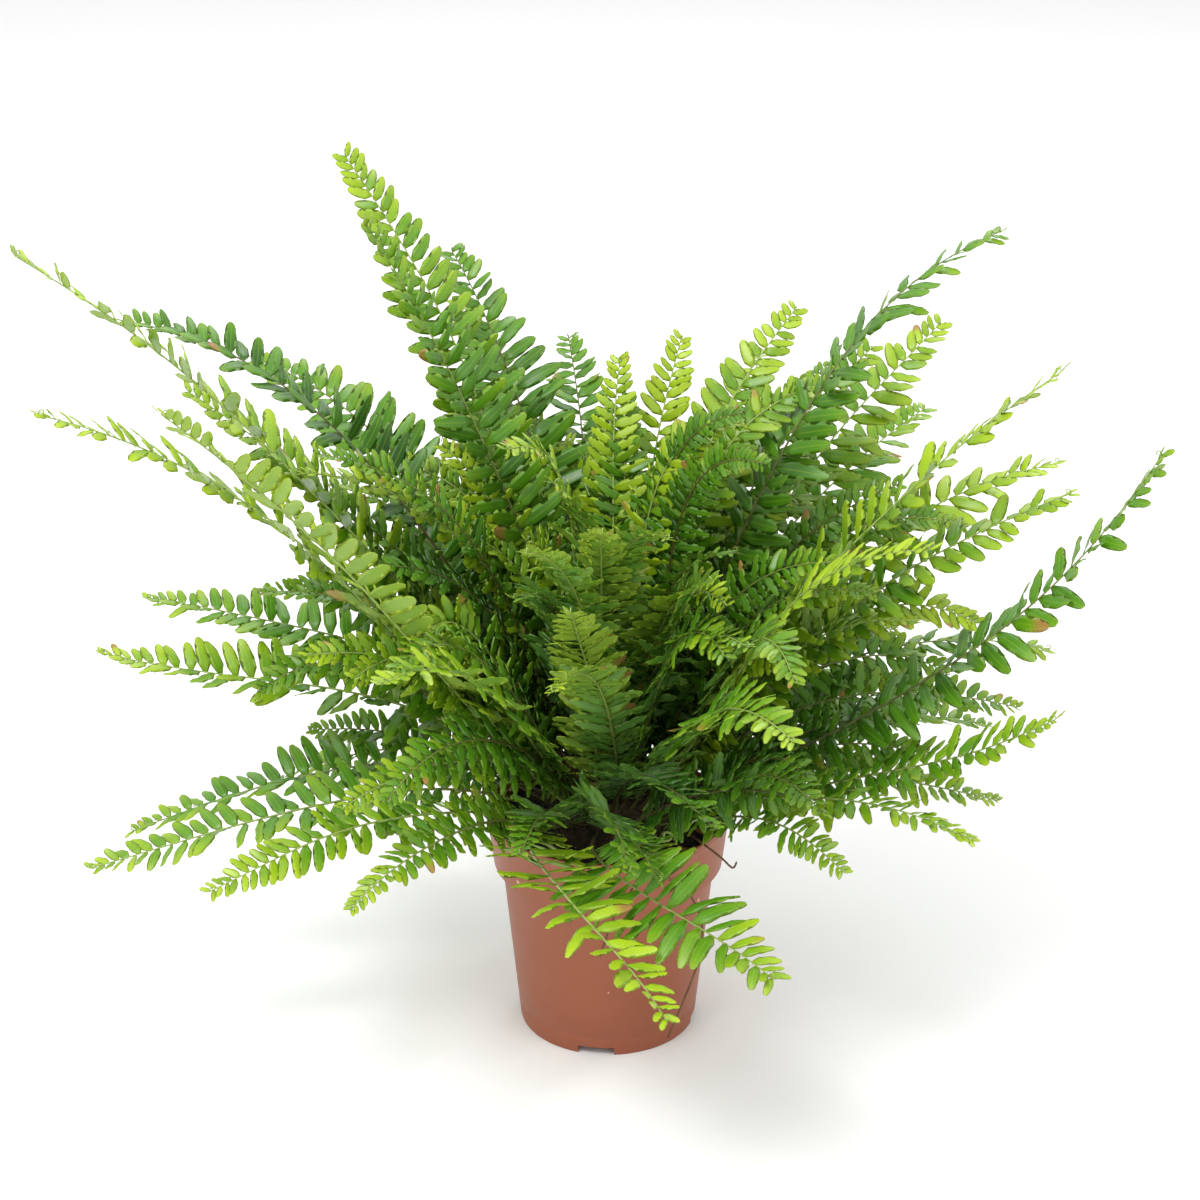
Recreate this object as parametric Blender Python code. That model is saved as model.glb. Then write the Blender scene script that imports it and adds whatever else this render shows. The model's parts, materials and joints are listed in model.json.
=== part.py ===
"""Potted fern: a sword fern growing in a round plastic nursery pot.

Metres, +Z up. The pot stands on z = 0 with its axis on Z, and the side that looks along -Y is its front.
Every frond, runner and dead leaflet is a closed solid of its own that ends just clear of what carries it.
"""

import math

import bmesh
import bpy
from mathutils import Vector

# --- pot -------------------------------------------------------------------------------------------------
POT_HEIGHT = 0.115
RIM_RADIUS = 0.060
BASE_RADIUS = 0.044
WALL = 0.0014
COLLAR_HEIGHT = 0.028
COLLAR_FOOT_RADIUS = 0.0565
SHOULDER_RADIUS = 0.0525
EDGE_ROUND = 0.0008
FOOT_RING_WIDTH = 0.0026
FLOOR_LIFT = 0.0050
POT_SEGMENTS = 48

NOTCH_WIDTH = 0.018
NOTCH_HEIGHT = 0.0044
NOTCH_AZIMUTHS = (-98, -8, 82, 172)
DRAIN_RADIUS = 0.0035
DRAIN_RING = 0.026
DRAIN_COUNT = 8
DRAIN_SIDES = 10

# --- soil and crown --------------------------------------------------------------------------------------
SEAT_GAP = 0.0003
SOIL_DEPTH_BELOW_RIM = 0.0090
SOIL_EDGE_DROP = 0.0015
SOIL_BUMP = 0.0007
SOIL_RINGS = (0.051, 0.044, 0.037)
SOIL_MARGIN = 0.0010
CROWN_RADIUS = 0.031
CROWN_RISE = 0.016
CROWN_SEGMENTS = 32
CROWN_STEPS = 7

# --- fronds ----------------------------------------------------------------------------------------------
STIPE_WIDTH = 0.0022
BLADE_THICKNESS = 0.0012
STIPE_TAPER = 0.6
STIPE_STATIONS = 5
BLADE_START = 0.24
BLADE_WIDTH_SHARE = 0.100
# The blade's outline swells and tapers as a skewed half wave, never narrower than its tip share.
BLADE_FOOT_PHASE = 0.16
BLADE_SKEW = 0.8
BLADE_FULLNESS = 0.75
BLADE_TIP_SHARE = 0.10
END_SHARE = 0.06
# Each lobe of the blade has a notch and a widest place, at these shares of its own length.
LOBE_PITCH = 0.030
LOBE_NOTCH_AT = 0.15
LOBE_PEAK_AT = 0.65
NOTCH_SHARE = 0.42
FOLD_SHARE = 0.22
# How far a frond keeps its heading at its stalk and at its tip, as shares of the distance between them.
LEAD_SHARE = 0.40
TRAIL_SHARE = 0.36

# Radius on the crown from which each whorl of fronds grows.
WHORL_RADIUS = {"low": 0.0270, "mid": 0.0205, "upper": 0.0135, "inner": 0.0065}

# Each row is one frond: azimuth of its tip, reach of its tip from the axis, height of its tip, lean of its
# stalk from upright, pitch of its tip above level, turn of its stalk from the tip's azimuth, and roll of its
# blade about its own midrib. Angles in degrees, lengths in metres; azimuth 0 is +X and 90 is +Y.
FRONDS = {
    "low": [
        (-83, 0.200, 0.116, 74, -34, -52, -20),
        (-71, 0.211, 0.137, 76, -6, -30, 10),
        (-51, 0.165, 0.148, 62, -22, 0, 0),
        (-33, 0.195, 0.152, 60, -14, 0, -15),
        (-24, 0.220, 0.206, 70, 36, 6, -25),
        (-6, 0.190, 0.128, 62, -12, 6, -20),
        (22, 0.215, 0.120, 58, -20, 0, -15),
        (50, 0.215, 0.110, 58, -30, 0, 0),
        (78, 0.205, 0.135, 60, -25, 0, 0),
        (105, 0.207, 0.105, 58, -30, 0, 0),
        (133, 0.210, 0.120, 58, -25, 0, 10),
        (156, 0.190, 0.090, 58, -30, 0, 10),
        (176, 0.240, 0.092, 56, -22, 0, 20),
        (-165, 0.252, 0.116, 60, -8, 0, 25),
        (-147, 0.214, 0.132, 62, -12, 0, 15),
        (-129, 0.180, 0.136, 60, -25, 0, 0),
    ],
    "mid": [
        (-66, 0.187, 0.232, 42, -10, 0, 0),
        (-36, 0.172, 0.290, 36, 10, 0, -25),
        (-11, 0.251, 0.317, 62, 62, -10, -35),
        (-9, 0.214, 0.292, 40, 24, 3, -35),
        (0, 0.200, 0.168, 48, -16, 6, -30),
        (13, 0.228, 0.176, 44, -18, 6, -25),
        (17, 0.235, 0.270, 36, 8, 15, -25),
        (45, 0.240, 0.265, 36, 10, 0, -10),
        (63, 0.185, 0.300, 30, 24, 0, 0),
        (92, 0.200, 0.250, 38, 5, 0, 0),
        (112, 0.212, 0.316, 32, 16, 0, 0),
        (137, 0.255, 0.290, 36, -2, 0, 15),
        (165, 0.240, 0.200, 44, 2, -5, 20),
        (175, 0.250, 0.188, 46, 12, 0, 30),
        (-174, 0.192, 0.336, 30, 36, 0, 30),
        (-157, 0.262, 0.352, 42, 20, 0, 40),
        (-145, 0.225, 0.362, 42, 42, 4, 30),
        (-122, 0.180, 0.250, 40, 0, 0, 0),
        (-97, 0.135, 0.275, 36, 30, 0, 10),
    ],
    "upper": [
        (-9, 0.206, 0.350, 34, 38, 0, -30),
        (15, 0.193, 0.392, 22, 16, -8, -30),
        (36, 0.208, 0.326, 28, 34, 0, -15),
        (70, 0.108, 0.326, 16, 46, 0, 0),
        (96, 0.201, 0.296, 28, 20, 0, 0),
        (120, 0.160, 0.360, 22, 26, 0, 10),
        (143, 0.160, 0.418, 18, 44, 0, 15),
        (166, 0.240, 0.345, 28, 4, 0, 25),
        (-164, 0.262, 0.413, 36, 36, 0, 30),
    ],
    "inner": [
        (-62, 0.110, 0.262, 22, -10, 0, 0),
        (31, 0.152, 0.327, 18, 30, -8, -15),
        (47, 0.137, 0.340, 14, 32, 0, -10),
        (85, 0.068, 0.325, 8, 60, 10, 0),
        (166, 0.116, 0.402, 14, 56, 0, 10),
    ],
}

# --- runners, fiddlehead and dead leaflets ---------------------------------------------------------------
RUNNER_RADIUS = 0.0007
TUBE_SIDES = 6
# Each runner is a wiry stem: points in metres from the soil by the crown, over the rim, to its free end.
RUNNERS = {
    "runner_long": [
        (0.0140, -0.0305, 0.1065),
        (0.0165, -0.0370, 0.1130),
        (0.0190, -0.0470, 0.1170),
        (0.0225, -0.0570, 0.1172),
        (0.0300, -0.0545, 0.1030),
        (0.0380, -0.0515, 0.0950),
        (0.0445, -0.0520, 0.0800),
        (0.0430, -0.0525, 0.0575),
        (0.0290, -0.0545, 0.0170),
    ],
    "runner_short": [
        (0.0080, -0.0325, 0.1065),
        (0.0110, -0.0400, 0.1130),
        (0.0150, -0.0500, 0.1170),
        (0.0160, -0.0605, 0.1165),
        (0.0120, -0.0655, 0.1070),
        (0.0030, -0.0670, 0.0920),
        (-0.0040, -0.0670, 0.0700),
    ],
    "runner_hooked": [
        (0.0300, -0.0165, 0.1065),
        (0.0350, -0.0240, 0.1125),
        (0.0400, -0.0340, 0.1165),
        (0.0450, -0.0425, 0.1170),
        (0.0535, -0.0460, 0.1115),
        (0.0590, -0.0460, 0.1060),
        (0.0610, -0.0450, 0.1085),
    ],
}
# The young frond that is still coiled: its stem arches out of the soil and its coil closes upward.
FIDDLEHEAD_STEM = [
    (0.0030, -0.0335, 0.1066),
    (0.0040, -0.0380, 0.1185),
    (0.0090, -0.0420, 0.1240),
    (0.0180, -0.0445, 0.1230),
    (0.0265, -0.0440, 0.1195),
]
FIDDLEHEAD_STEM_RADIUS = 0.0009
FIDDLEHEAD_TIP_RADIUS = 0.0005
FIDDLEHEAD_COIL_RADIUS = 0.0028
FIDDLEHEAD_COIL_CLOSING = 0.62
FIDDLEHEAD_TURNS = 1.1
FIDDLEHEAD_COIL_STEPS = 14
ROUTE_STEPS = 3
DEAD_LEAFLET_LENGTH = 0.014
DEAD_LEAFLET_WIDTH = 0.0055
DEAD_LEAFLET_THICKNESS = 0.0008
DEAD_LEAFLET_STEPS = 5
# Each dead leaflet: where its middle lies on the soil, and which way it points in degrees.
DEAD_LEAFLETS = {
    "dead_leaflet_1": (0.033, -0.034, 25),
    "dead_leaflet_2": (0.046, -0.016, -50),
    "dead_leaflet_3": (0.038, 0.012, 80),
}

# --- colours: linear RGB and roughness -------------------------------------------------------------------
TERRACOTTA = ((0.342, 0.102, 0.046, 1.0), 0.42)
PEAT = ((0.020, 0.011, 0.007, 1.0), 0.95)
BARK_BROWN = ((0.070, 0.038, 0.018, 1.0), 0.85)
RUNNER_BROWN = ((0.180, 0.080, 0.030, 1.0), 0.70)
FIDDLEHEAD_GREEN = ((0.200, 0.290, 0.060, 1.0), 0.60)
DEAD_TAN = ((0.340, 0.170, 0.060, 1.0), 0.80)
LEAF_GREENS = {
    "low": ((0.100, 0.300, 0.020, 1.0), 0.50),
    "mid": ((0.070, 0.240, 0.018, 1.0), 0.50),
    "upper": ((0.085, 0.270, 0.018, 1.0), 0.50),
    "inner": ((0.130, 0.340, 0.025, 1.0), 0.50),
}

SOIL_TOP = POT_HEIGHT - SOIL_DEPTH_BELOW_RIM
FLOOR_TOP = FLOOR_LIFT + WALL
COLLAR_FOOT = POT_HEIGHT - COLLAR_HEIGHT
CROWN_BASE = SOIL_TOP + SEAT_GAP
CURVE_SAMPLES = 48


def clear_scene():
    for old in list(bpy.data.objects):
        bpy.data.objects.remove(old, do_unlink=True)


def make_material(name, finish):
    colour, roughness = finish
    material = bpy.data.materials.new(name)
    material.use_nodes = True
    shader = material.node_tree.nodes["Principled BSDF"]
    shader.inputs["Base Color"].default_value = colour
    shader.inputs["Roughness"].default_value = roughness
    material.diffuse_color = colour
    return material


def add_object(name, bm, finish):
    """Turns a bmesh into a scene object of its own with its own material."""
    bmesh.ops.recalc_face_normals(bm, faces=bm.faces)
    mesh = bpy.data.meshes.new(name)
    bm.to_mesh(mesh)
    bm.free()
    for polygon in mesh.polygons:
        polygon.use_smooth = True
    mesh.materials.append(make_material(name + "_finish", finish))
    node = bpy.data.objects.new(name, mesh)
    bpy.context.collection.objects.link(node)
    return node


def bridge(bm, first, second):
    """Joins two rings of vertices with quads; either may be a single vertex on the axis."""
    count = max(len(first), len(second))
    for i in range(count):
        j = (i + 1) % count
        low = [first[i % len(first)], first[j % len(first)]]
        high = [second[j % len(second)], second[i % len(second)]]
        bm.faces.new(list(dict.fromkeys(low + high)))


def revolve(outline, segments):
    """Turns an outline of (radius, height) points about Z; it starts and ends on the axis."""
    bm = bmesh.new()
    rings = []
    for radius, height in outline:
        if radius == 0.0:
            rings.append([bm.verts.new((0.0, 0.0, height))])
            continue
        ring = []
        for i in range(segments):
            angle = 2.0 * math.pi * i / segments
            ring.append(bm.verts.new((radius * math.cos(angle), radius * math.sin(angle), height)))
        rings.append(ring)
    for lower, upper in zip(rings, rings[1:]):
        bridge(bm, lower, upper)
    return bm


def arc(centre, radius, start, end, steps):
    """Points of an arc in an outline, angles in degrees."""
    points = []
    for i in range(steps + 1):
        angle = math.radians(start + (end - start) * i / steps)
        points.append((centre[0] + radius * math.cos(angle), centre[1] + radius * math.sin(angle)))
    return points


def body_radius(height):
    """Outer radius of the tapered body under the collar."""
    share = height / COLLAR_FOOT
    return BASE_RADIUS + (SHOULDER_RADIUS - BASE_RADIUS) * share


def collar_radius(height):
    """Outer radius of the collar."""
    share = (height - COLLAR_FOOT) / COLLAR_HEIGHT
    return COLLAR_FOOT_RADIUS + (RIM_RADIUS - COLLAR_FOOT_RADIUS) * share


def pot_outline():
    foot_inner = BASE_RADIUS - FOOT_RING_WIDTH
    outline = [(0.0, FLOOR_LIFT), (foot_inner, FLOOR_LIFT), (foot_inner, 0.0)]
    outline += arc((BASE_RADIUS - EDGE_ROUND, EDGE_ROUND), EDGE_ROUND, -90, 0, 2)
    outline.append((body_radius(COLLAR_FOOT), COLLAR_FOOT))
    outline += arc((COLLAR_FOOT_RADIUS - EDGE_ROUND, COLLAR_FOOT + EDGE_ROUND), EDGE_ROUND, -90, 0, 2)
    outline += arc((RIM_RADIUS - WALL / 2, POT_HEIGHT - WALL / 2), WALL / 2, 0, 180, 4)
    ledge = COLLAR_FOOT + WALL
    outline.append((COLLAR_FOOT_RADIUS - WALL, ledge))
    outline.append((body_radius(ledge) - WALL, ledge))
    outline.append((body_radius(FLOOR_TOP) - WALL, FLOOR_TOP))
    outline.append((0.0, FLOOR_TOP))
    return outline


def notch_cutter(azimuth):
    """A block that opens the foot ring for drainage."""
    bm = bmesh.new()
    bmesh.ops.create_cube(bm, size=1.0)
    reach = 4 * FOOT_RING_WIDTH
    bmesh.ops.scale(bm, vec=(reach, NOTCH_WIDTH, 2 * NOTCH_HEIGHT), verts=bm.verts)
    cutter = add_cutter(f"notch_cutter_{azimuth}", bm)
    angle = math.radians(azimuth)
    cutter.location = (BASE_RADIUS * math.cos(angle), BASE_RADIUS * math.sin(angle), 0.0)
    cutter.rotation_euler = (0.0, 0.0, angle)
    return cutter


def drain_cutter():
    """The ring of round drainage holes in the floor and the one at its middle."""
    bm = bmesh.new()
    centres = [(0.0, 0.0)]
    for i in range(DRAIN_COUNT):
        angle = 2.0 * math.pi * (i + 0.5) / DRAIN_COUNT
        centres.append((DRAIN_RING * math.cos(angle), DRAIN_RING * math.sin(angle)))
    for x, y in centres:
        made = bmesh.ops.create_cone(
            bm,
            cap_ends=True,
            segments=DRAIN_SIDES,
            radius1=DRAIN_RADIUS,
            radius2=DRAIN_RADIUS,
            depth=4 * WALL,
        )
        bmesh.ops.translate(bm, vec=(x, y, FLOOR_LIFT + WALL / 2), verts=made["verts"])
    return add_cutter("drain_cutter", bm)


def add_cutter(name, bm):
    mesh = bpy.data.meshes.new(name)
    bm.to_mesh(mesh)
    bm.free()
    cutter = bpy.data.objects.new(name, mesh)
    bpy.context.collection.objects.link(cutter)
    cutter.hide_render = True
    cutter.display_type = "WIRE"
    return cutter


def make_pot():
    pot = add_object("pot", revolve(pot_outline(), POT_SEGMENTS), TERRACOTTA)
    cutters = [notch_cutter(azimuth) for azimuth in NOTCH_AZIMUTHS]
    cutters.append(drain_cutter())
    for cutter in cutters:
        cut = pot.modifiers.new(cutter.name, "BOOLEAN")
        cut.operation = "DIFFERENCE"
        cut.object = cutter


def soil_bump(x, y):
    """How far the soil's top rises or sinks at a place."""
    return SOIL_BUMP * math.sin(310 * x + 2) * math.sin(270 * y + 190 * x)


def make_soil():
    """The root ball: it follows the inside of the pot with a small gap and is a little uneven on top."""
    ledge = COLLAR_FOOT + WALL
    clear = WALL + 2 * SEAT_GAP
    outline = [
        (0.0, FLOOR_TOP + SEAT_GAP),
        (body_radius(FLOOR_TOP) - clear, FLOOR_TOP + SEAT_GAP),
        (body_radius(ledge) - clear, ledge + SEAT_GAP),
        (COLLAR_FOOT_RADIUS - clear, ledge + SEAT_GAP),
        (collar_radius(SOIL_TOP - SOIL_EDGE_DROP) - clear, SOIL_TOP - SOIL_EDGE_DROP),
    ]
    outline += [(radius, SOIL_TOP - SOIL_BUMP) for radius in SOIL_RINGS]
    outline += [(CROWN_RADIUS + SOIL_MARGIN, SOIL_TOP), (0.0, SOIL_TOP)]
    bm = revolve(outline, POT_SEGMENTS)
    for vertex in bm.verts:
        radius = vertex.co.xy.length
        on_top = vertex.co.z > SOIL_TOP - SOIL_EDGE_DROP + SEAT_GAP
        if on_top and radius > CROWN_RADIUS + 2 * SOIL_MARGIN:
            vertex.co.z += soil_bump(vertex.co.x, vertex.co.y)
    add_object("potting_soil", bm, PEAT)


def crown_height(radius):
    """Height of the crown's surface at a radius."""
    return CROWN_BASE + CROWN_RISE * math.sqrt(max(0.0, 1.0 - (radius / CROWN_RADIUS) ** 2))


def make_crown():
    outline = [(0.0, CROWN_BASE), (CROWN_RADIUS, CROWN_BASE)]
    for i in range(1, CROWN_STEPS):
        angle = 0.5 * math.pi * i / CROWN_STEPS
        outline.append((CROWN_RADIUS * math.cos(angle), CROWN_BASE + CROWN_RISE * math.sin(angle)))
    outline.append((0.0, CROWN_BASE + CROWN_RISE))
    add_object("crown", revolve(outline, CROWN_SEGMENTS), BARK_BROWN)


def heading(azimuth, lean):
    """Unit vector at an azimuth, leaning from upright by an angle; degrees."""
    across = math.sin(math.radians(lean))
    turn = math.radians(azimuth)
    return Vector((across * math.cos(turn), across * math.sin(turn), math.cos(math.radians(lean))))


def seat_on_crown(azimuth, lean, whorl):
    """Where a stalk's lower end sits, clear of the crown by the seat gap all round its edge."""
    radius = WHORL_RADIUS[whorl]
    flat = radius / CROWN_RADIUS
    slope = math.atan2(CROWN_RISE * flat, CROWN_RADIUS * math.sqrt(1.0 - flat * flat))
    normal = heading(azimuth, math.degrees(slope))
    tilt = abs(math.radians(lean) - slope)
    lift = SEAT_GAP + 0.5 * STIPE_WIDTH * math.sin(tilt)
    foot = heading(azimuth, 90) * radius
    foot.z = crown_height(radius)
    return foot + normal * lift


def frond_curve(whorl, row):
    """Evenly numbered points along a frond's midrib, from the crown to its tip."""
    azimuth, reach, height, lean, pitch, turn, _roll = row
    start = seat_on_crown(azimuth + turn, lean, whorl)
    end = heading(azimuth, 90) * reach
    end.z = height
    span = (end - start).length
    lead = start + heading(azimuth + turn, lean) * (LEAD_SHARE * span)
    trail = end - heading(azimuth - turn / 2, 90 - pitch) * (TRAIL_SHARE * span)
    points = []
    for i in range(CURVE_SAMPLES + 1):
        t = i / CURVE_SAMPLES
        s = 1.0 - t
        points.append(start * s**3 + lead * (3 * s * s * t) + trail * (3 * s * t * t) + end * t**3)
    return points


def point_at(points, share):
    """Position and direction at a share of the way along evenly numbered points."""
    place = share * (len(points) - 1)
    i = min(int(place), len(points) - 2)
    position = points[i].lerp(points[i + 1], place - i)
    return position, (points[i + 1] - points[i]).normalized()


def blade_outline(share):
    """Half width of a blade at a share of its length, as a share of its widest."""
    phase = BLADE_FOOT_PHASE + (1.0 - BLADE_FOOT_PHASE) * share
    return max(BLADE_TIP_SHARE, math.sin(math.pi * phase**BLADE_SKEW) ** BLADE_FULLNESS)


def frond_stations(length):
    """Shares along a frond with the blade's width there: the thin stalk first, then lobe, notch, lobe."""
    stations = [(BLADE_START * i / STIPE_STATIONS, 0.0) for i in range(STIPE_STATIONS)]
    lobes = round((1.0 - BLADE_START) * length / LOBE_PITCH)
    for i in range(lobes):
        for step, depth in ((LOBE_NOTCH_AT, NOTCH_SHARE), (LOBE_PEAK_AT, 1.0)):
            share = (i + step) / lobes
            stations.append((BLADE_START + (1.0 - BLADE_START) * share, depth * blade_outline(share)))
    stations.append((1.0, END_SHARE))
    return stations


def make_frond(name, whorl, row):
    """A stalk and its toothed blade: one closed strip, thickest at its midrib, with its edges folded up."""
    azimuth, turn, roll = row[0], row[5], row[6]
    points = frond_curve(whorl, row)
    length = sum((b - a).length for a, b in zip(points, points[1:]))
    blade_width = BLADE_WIDTH_SHARE * length
    bm = bmesh.new()
    previous = None
    for share, width_share in frond_stations(length):
        position, tangent = point_at(points, share)
        bearing = azimuth + turn * (1.0 - share)
        side = heading(bearing + 90, 90)
        side = (side - tangent * side.dot(tangent)).normalized()
        up = tangent.cross(side)
        blade = min(1.0, share / BLADE_START)
        angle = math.radians(roll * blade)
        across = side * math.cos(angle) + up * math.sin(angle)
        above = up * math.cos(angle) - side * math.sin(angle)
        half = 0.5 * max(STIPE_WIDTH * (1.0 - STIPE_TAPER * share), blade_width * width_share)
        fold = FOLD_SHARE * half if width_share > 0.0 else 0.0
        thick = 0.5 * (STIPE_WIDTH if width_share == 0.0 else BLADE_THICKNESS)
        corners = [
            position + across * half + above * fold,
            position + above * thick,
            position - across * half + above * fold,
            position - above * thick,
        ]
        ring = [bm.verts.new(corner) for corner in corners]
        if previous is None:
            bm.faces.new(ring)
        else:
            bridge(bm, previous, ring)
        previous = ring
    bm.faces.new(previous)
    bmesh.ops.triangulate(bm, faces=bm.faces)
    add_object(name, bm, LEAF_GREENS[whorl])


def tube(points, radii):
    """A round tube with flat ends along a list of points, one radius for each point."""
    bm = bmesh.new()
    previous = None
    side = Vector((0.8, 0.0, 0.6))
    last = len(points) - 1
    for i, (point, radius) in enumerate(zip(points, radii)):
        tangent = (points[min(i + 1, last)] - points[max(i - 1, 0)]).normalized()
        side = (side - tangent * side.dot(tangent)).normalized()
        up = tangent.cross(side)
        ring = []
        for k in range(TUBE_SIDES):
            angle = 2.0 * math.pi * k / TUBE_SIDES
            ring.append(bm.verts.new(point + (side * math.cos(angle) + up * math.sin(angle)) * radius))
        if previous is None:
            bm.faces.new(ring)
        else:
            bridge(bm, previous, ring)
        previous = ring
    bm.faces.new(previous)
    return bm


def smooth_route(route):
    """Catmull-Rom points through a hand-placed route."""
    knots = [Vector(route[0])] + [Vector(point) for point in route] + [Vector(route[-1])]
    points = []
    for a, b, c, d in zip(knots, knots[1:], knots[2:], knots[3:]):
        for i in range(ROUTE_STEPS):
            t = i / ROUTE_STEPS
            bend = (2 * a - 5 * b + 4 * c - d) * t**2 + (3 * b - a - 3 * c + d) * t**3
            points.append(0.5 * (2 * b + (c - a) * t + bend))
    points.append(knots[-1])
    return points


def make_runners():
    for name, route in RUNNERS.items():
        points = smooth_route(route)
        add_object(name, tube(points, [RUNNER_RADIUS] * len(points)), RUNNER_BROWN)


def make_fiddlehead():
    points = smooth_route(FIDDLEHEAD_STEM)
    radii = [FIDDLEHEAD_STEM_RADIUS] * len(points)
    heading_in = (points[-1] - points[-2]).normalized()
    inward = (Vector((0.0, 0.0, 1.0)) - heading_in * heading_in.z).normalized()
    centre = points[-1] + inward * FIDDLEHEAD_COIL_RADIUS
    for i in range(1, FIDDLEHEAD_COIL_STEPS + 1):
        share = i / FIDDLEHEAD_COIL_STEPS
        angle = 2.0 * math.pi * FIDDLEHEAD_TURNS * share
        radius = FIDDLEHEAD_COIL_RADIUS * (1.0 - FIDDLEHEAD_COIL_CLOSING * share)
        points.append(centre + heading_in * (radius * math.sin(angle)) - inward * (radius * math.cos(angle)))
        radii.append(FIDDLEHEAD_STEM_RADIUS + (FIDDLEHEAD_TIP_RADIUS - FIDDLEHEAD_STEM_RADIUS) * share)
    add_object("fiddlehead", tube(points, radii), FIDDLEHEAD_GREEN)


def make_dead_leaflets():
    """Small fallen leaflets that lie on the soil: oval plates."""
    for name, (x, y, bearing) in DEAD_LEAFLETS.items():
        along = heading(bearing, 90) * (0.5 * DEAD_LEAFLET_LENGTH)
        across = heading(bearing + 90, 90) * (0.5 * DEAD_LEAFLET_WIDTH)
        middle = Vector((x, y, SOIL_TOP + SEAT_GAP))
        thickness = Vector((0.0, 0.0, DEAD_LEAFLET_THICKNESS))
        low = []
        high = []
        bm = bmesh.new()
        for i in range(2 * DEAD_LEAFLET_STEPS):
            angle = math.pi * i / DEAD_LEAFLET_STEPS
            edge = middle + along * math.cos(angle) + across * math.sin(angle)
            low.append(bm.verts.new(edge))
            high.append(bm.verts.new(edge + thickness))
        bm.faces.new(low)
        bm.faces.new(high)
        bridge(bm, low, high)
        add_object(name, bm, DEAD_TAN)


def main():
    clear_scene()
    make_pot()
    make_soil()
    make_crown()
    for whorl, rows in FRONDS.items():
        for number, row in enumerate(rows, start=1):
            make_frond(f"frond_{whorl}_{number:02d}", whorl, row)
    make_runners()
    make_fiddlehead()
    make_dead_leaflets()


main()
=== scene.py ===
"""Potted fern: a sword fern in a round plastic nursery pot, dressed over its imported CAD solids."""

import json
import logging
import math
import random
from dataclasses import dataclass
from enum import Enum
from typing import Callable

import bmesh
import bpy
from mathutils import Matrix, Vector, noise

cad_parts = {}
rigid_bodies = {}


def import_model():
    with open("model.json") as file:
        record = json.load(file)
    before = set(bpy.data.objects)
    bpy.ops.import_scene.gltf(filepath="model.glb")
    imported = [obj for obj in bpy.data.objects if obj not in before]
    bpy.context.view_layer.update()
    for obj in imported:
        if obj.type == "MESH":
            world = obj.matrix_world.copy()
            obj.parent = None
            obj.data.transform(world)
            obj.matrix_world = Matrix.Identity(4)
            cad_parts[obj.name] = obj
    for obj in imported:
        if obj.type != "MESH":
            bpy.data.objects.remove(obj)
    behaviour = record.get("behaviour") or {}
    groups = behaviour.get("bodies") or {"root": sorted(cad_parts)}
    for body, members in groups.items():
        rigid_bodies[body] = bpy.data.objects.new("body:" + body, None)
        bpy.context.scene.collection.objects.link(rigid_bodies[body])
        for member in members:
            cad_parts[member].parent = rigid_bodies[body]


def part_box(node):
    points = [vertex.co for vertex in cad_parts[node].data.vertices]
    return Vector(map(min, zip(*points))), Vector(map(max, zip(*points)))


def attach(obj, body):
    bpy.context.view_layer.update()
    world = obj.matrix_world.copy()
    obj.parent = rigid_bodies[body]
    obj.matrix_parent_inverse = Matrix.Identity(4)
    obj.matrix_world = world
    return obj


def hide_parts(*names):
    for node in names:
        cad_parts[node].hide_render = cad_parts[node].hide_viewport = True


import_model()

LOG = logging.getLogger("potted_fern")
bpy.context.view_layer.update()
ROOT = "root"

Colour = tuple[float, float, float, float]
Outline = list[tuple[float, float]] | tuple[tuple[float, float], ...]


class Whorl(Enum):
    """The four rings of fronds on the crown, from the outermost to the innermost."""

    LOW = "low"
    MID = "mid"
    UPPER = "upper"
    INNER = "inner"


class Side(Enum):
    """Which side of a midrib a leaflet grows on; the value is the sign of its tipward edge."""

    LEFT = 1
    RIGHT = -1


# --- shape shared with the CAD solids --------------------------------------------------------------------


@dataclass(frozen=True)
class CrownForm:
    """The crown's dome, which carries every frond, measured from its CAD node."""

    radius: float
    base: float
    rise: float

    @classmethod
    def measured(cls) -> "CrownForm":
        """Reads the dome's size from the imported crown."""
        low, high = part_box("crown")
        return cls(radius=high[0], base=low[2], rise=high[2] - low[2])

    def height(self, radius: float) -> float:
        """Height of the dome's surface at a radius."""
        return self.base + self.rise * math.sqrt(max(0.0, 1.0 - (radius / self.radius) ** 2))

    def slope(self, radius: float) -> float:
        """Angle of the dome's normal from upright at a radius, in radians."""
        flat = radius / self.radius
        return math.atan2(self.rise * flat, self.radius * math.sqrt(1.0 - flat * flat))


WHORL_RADIUS = {Whorl.LOW: 0.0270, Whorl.MID: 0.0205, Whorl.UPPER: 0.0135, Whorl.INNER: 0.0065}
LEAD_SHARE = 0.40
TRAIL_SHARE = 0.36
BLADE_START = 0.24
STALK_WIDTH = 0.0022
SEAT_GAP = 0.0003

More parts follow.
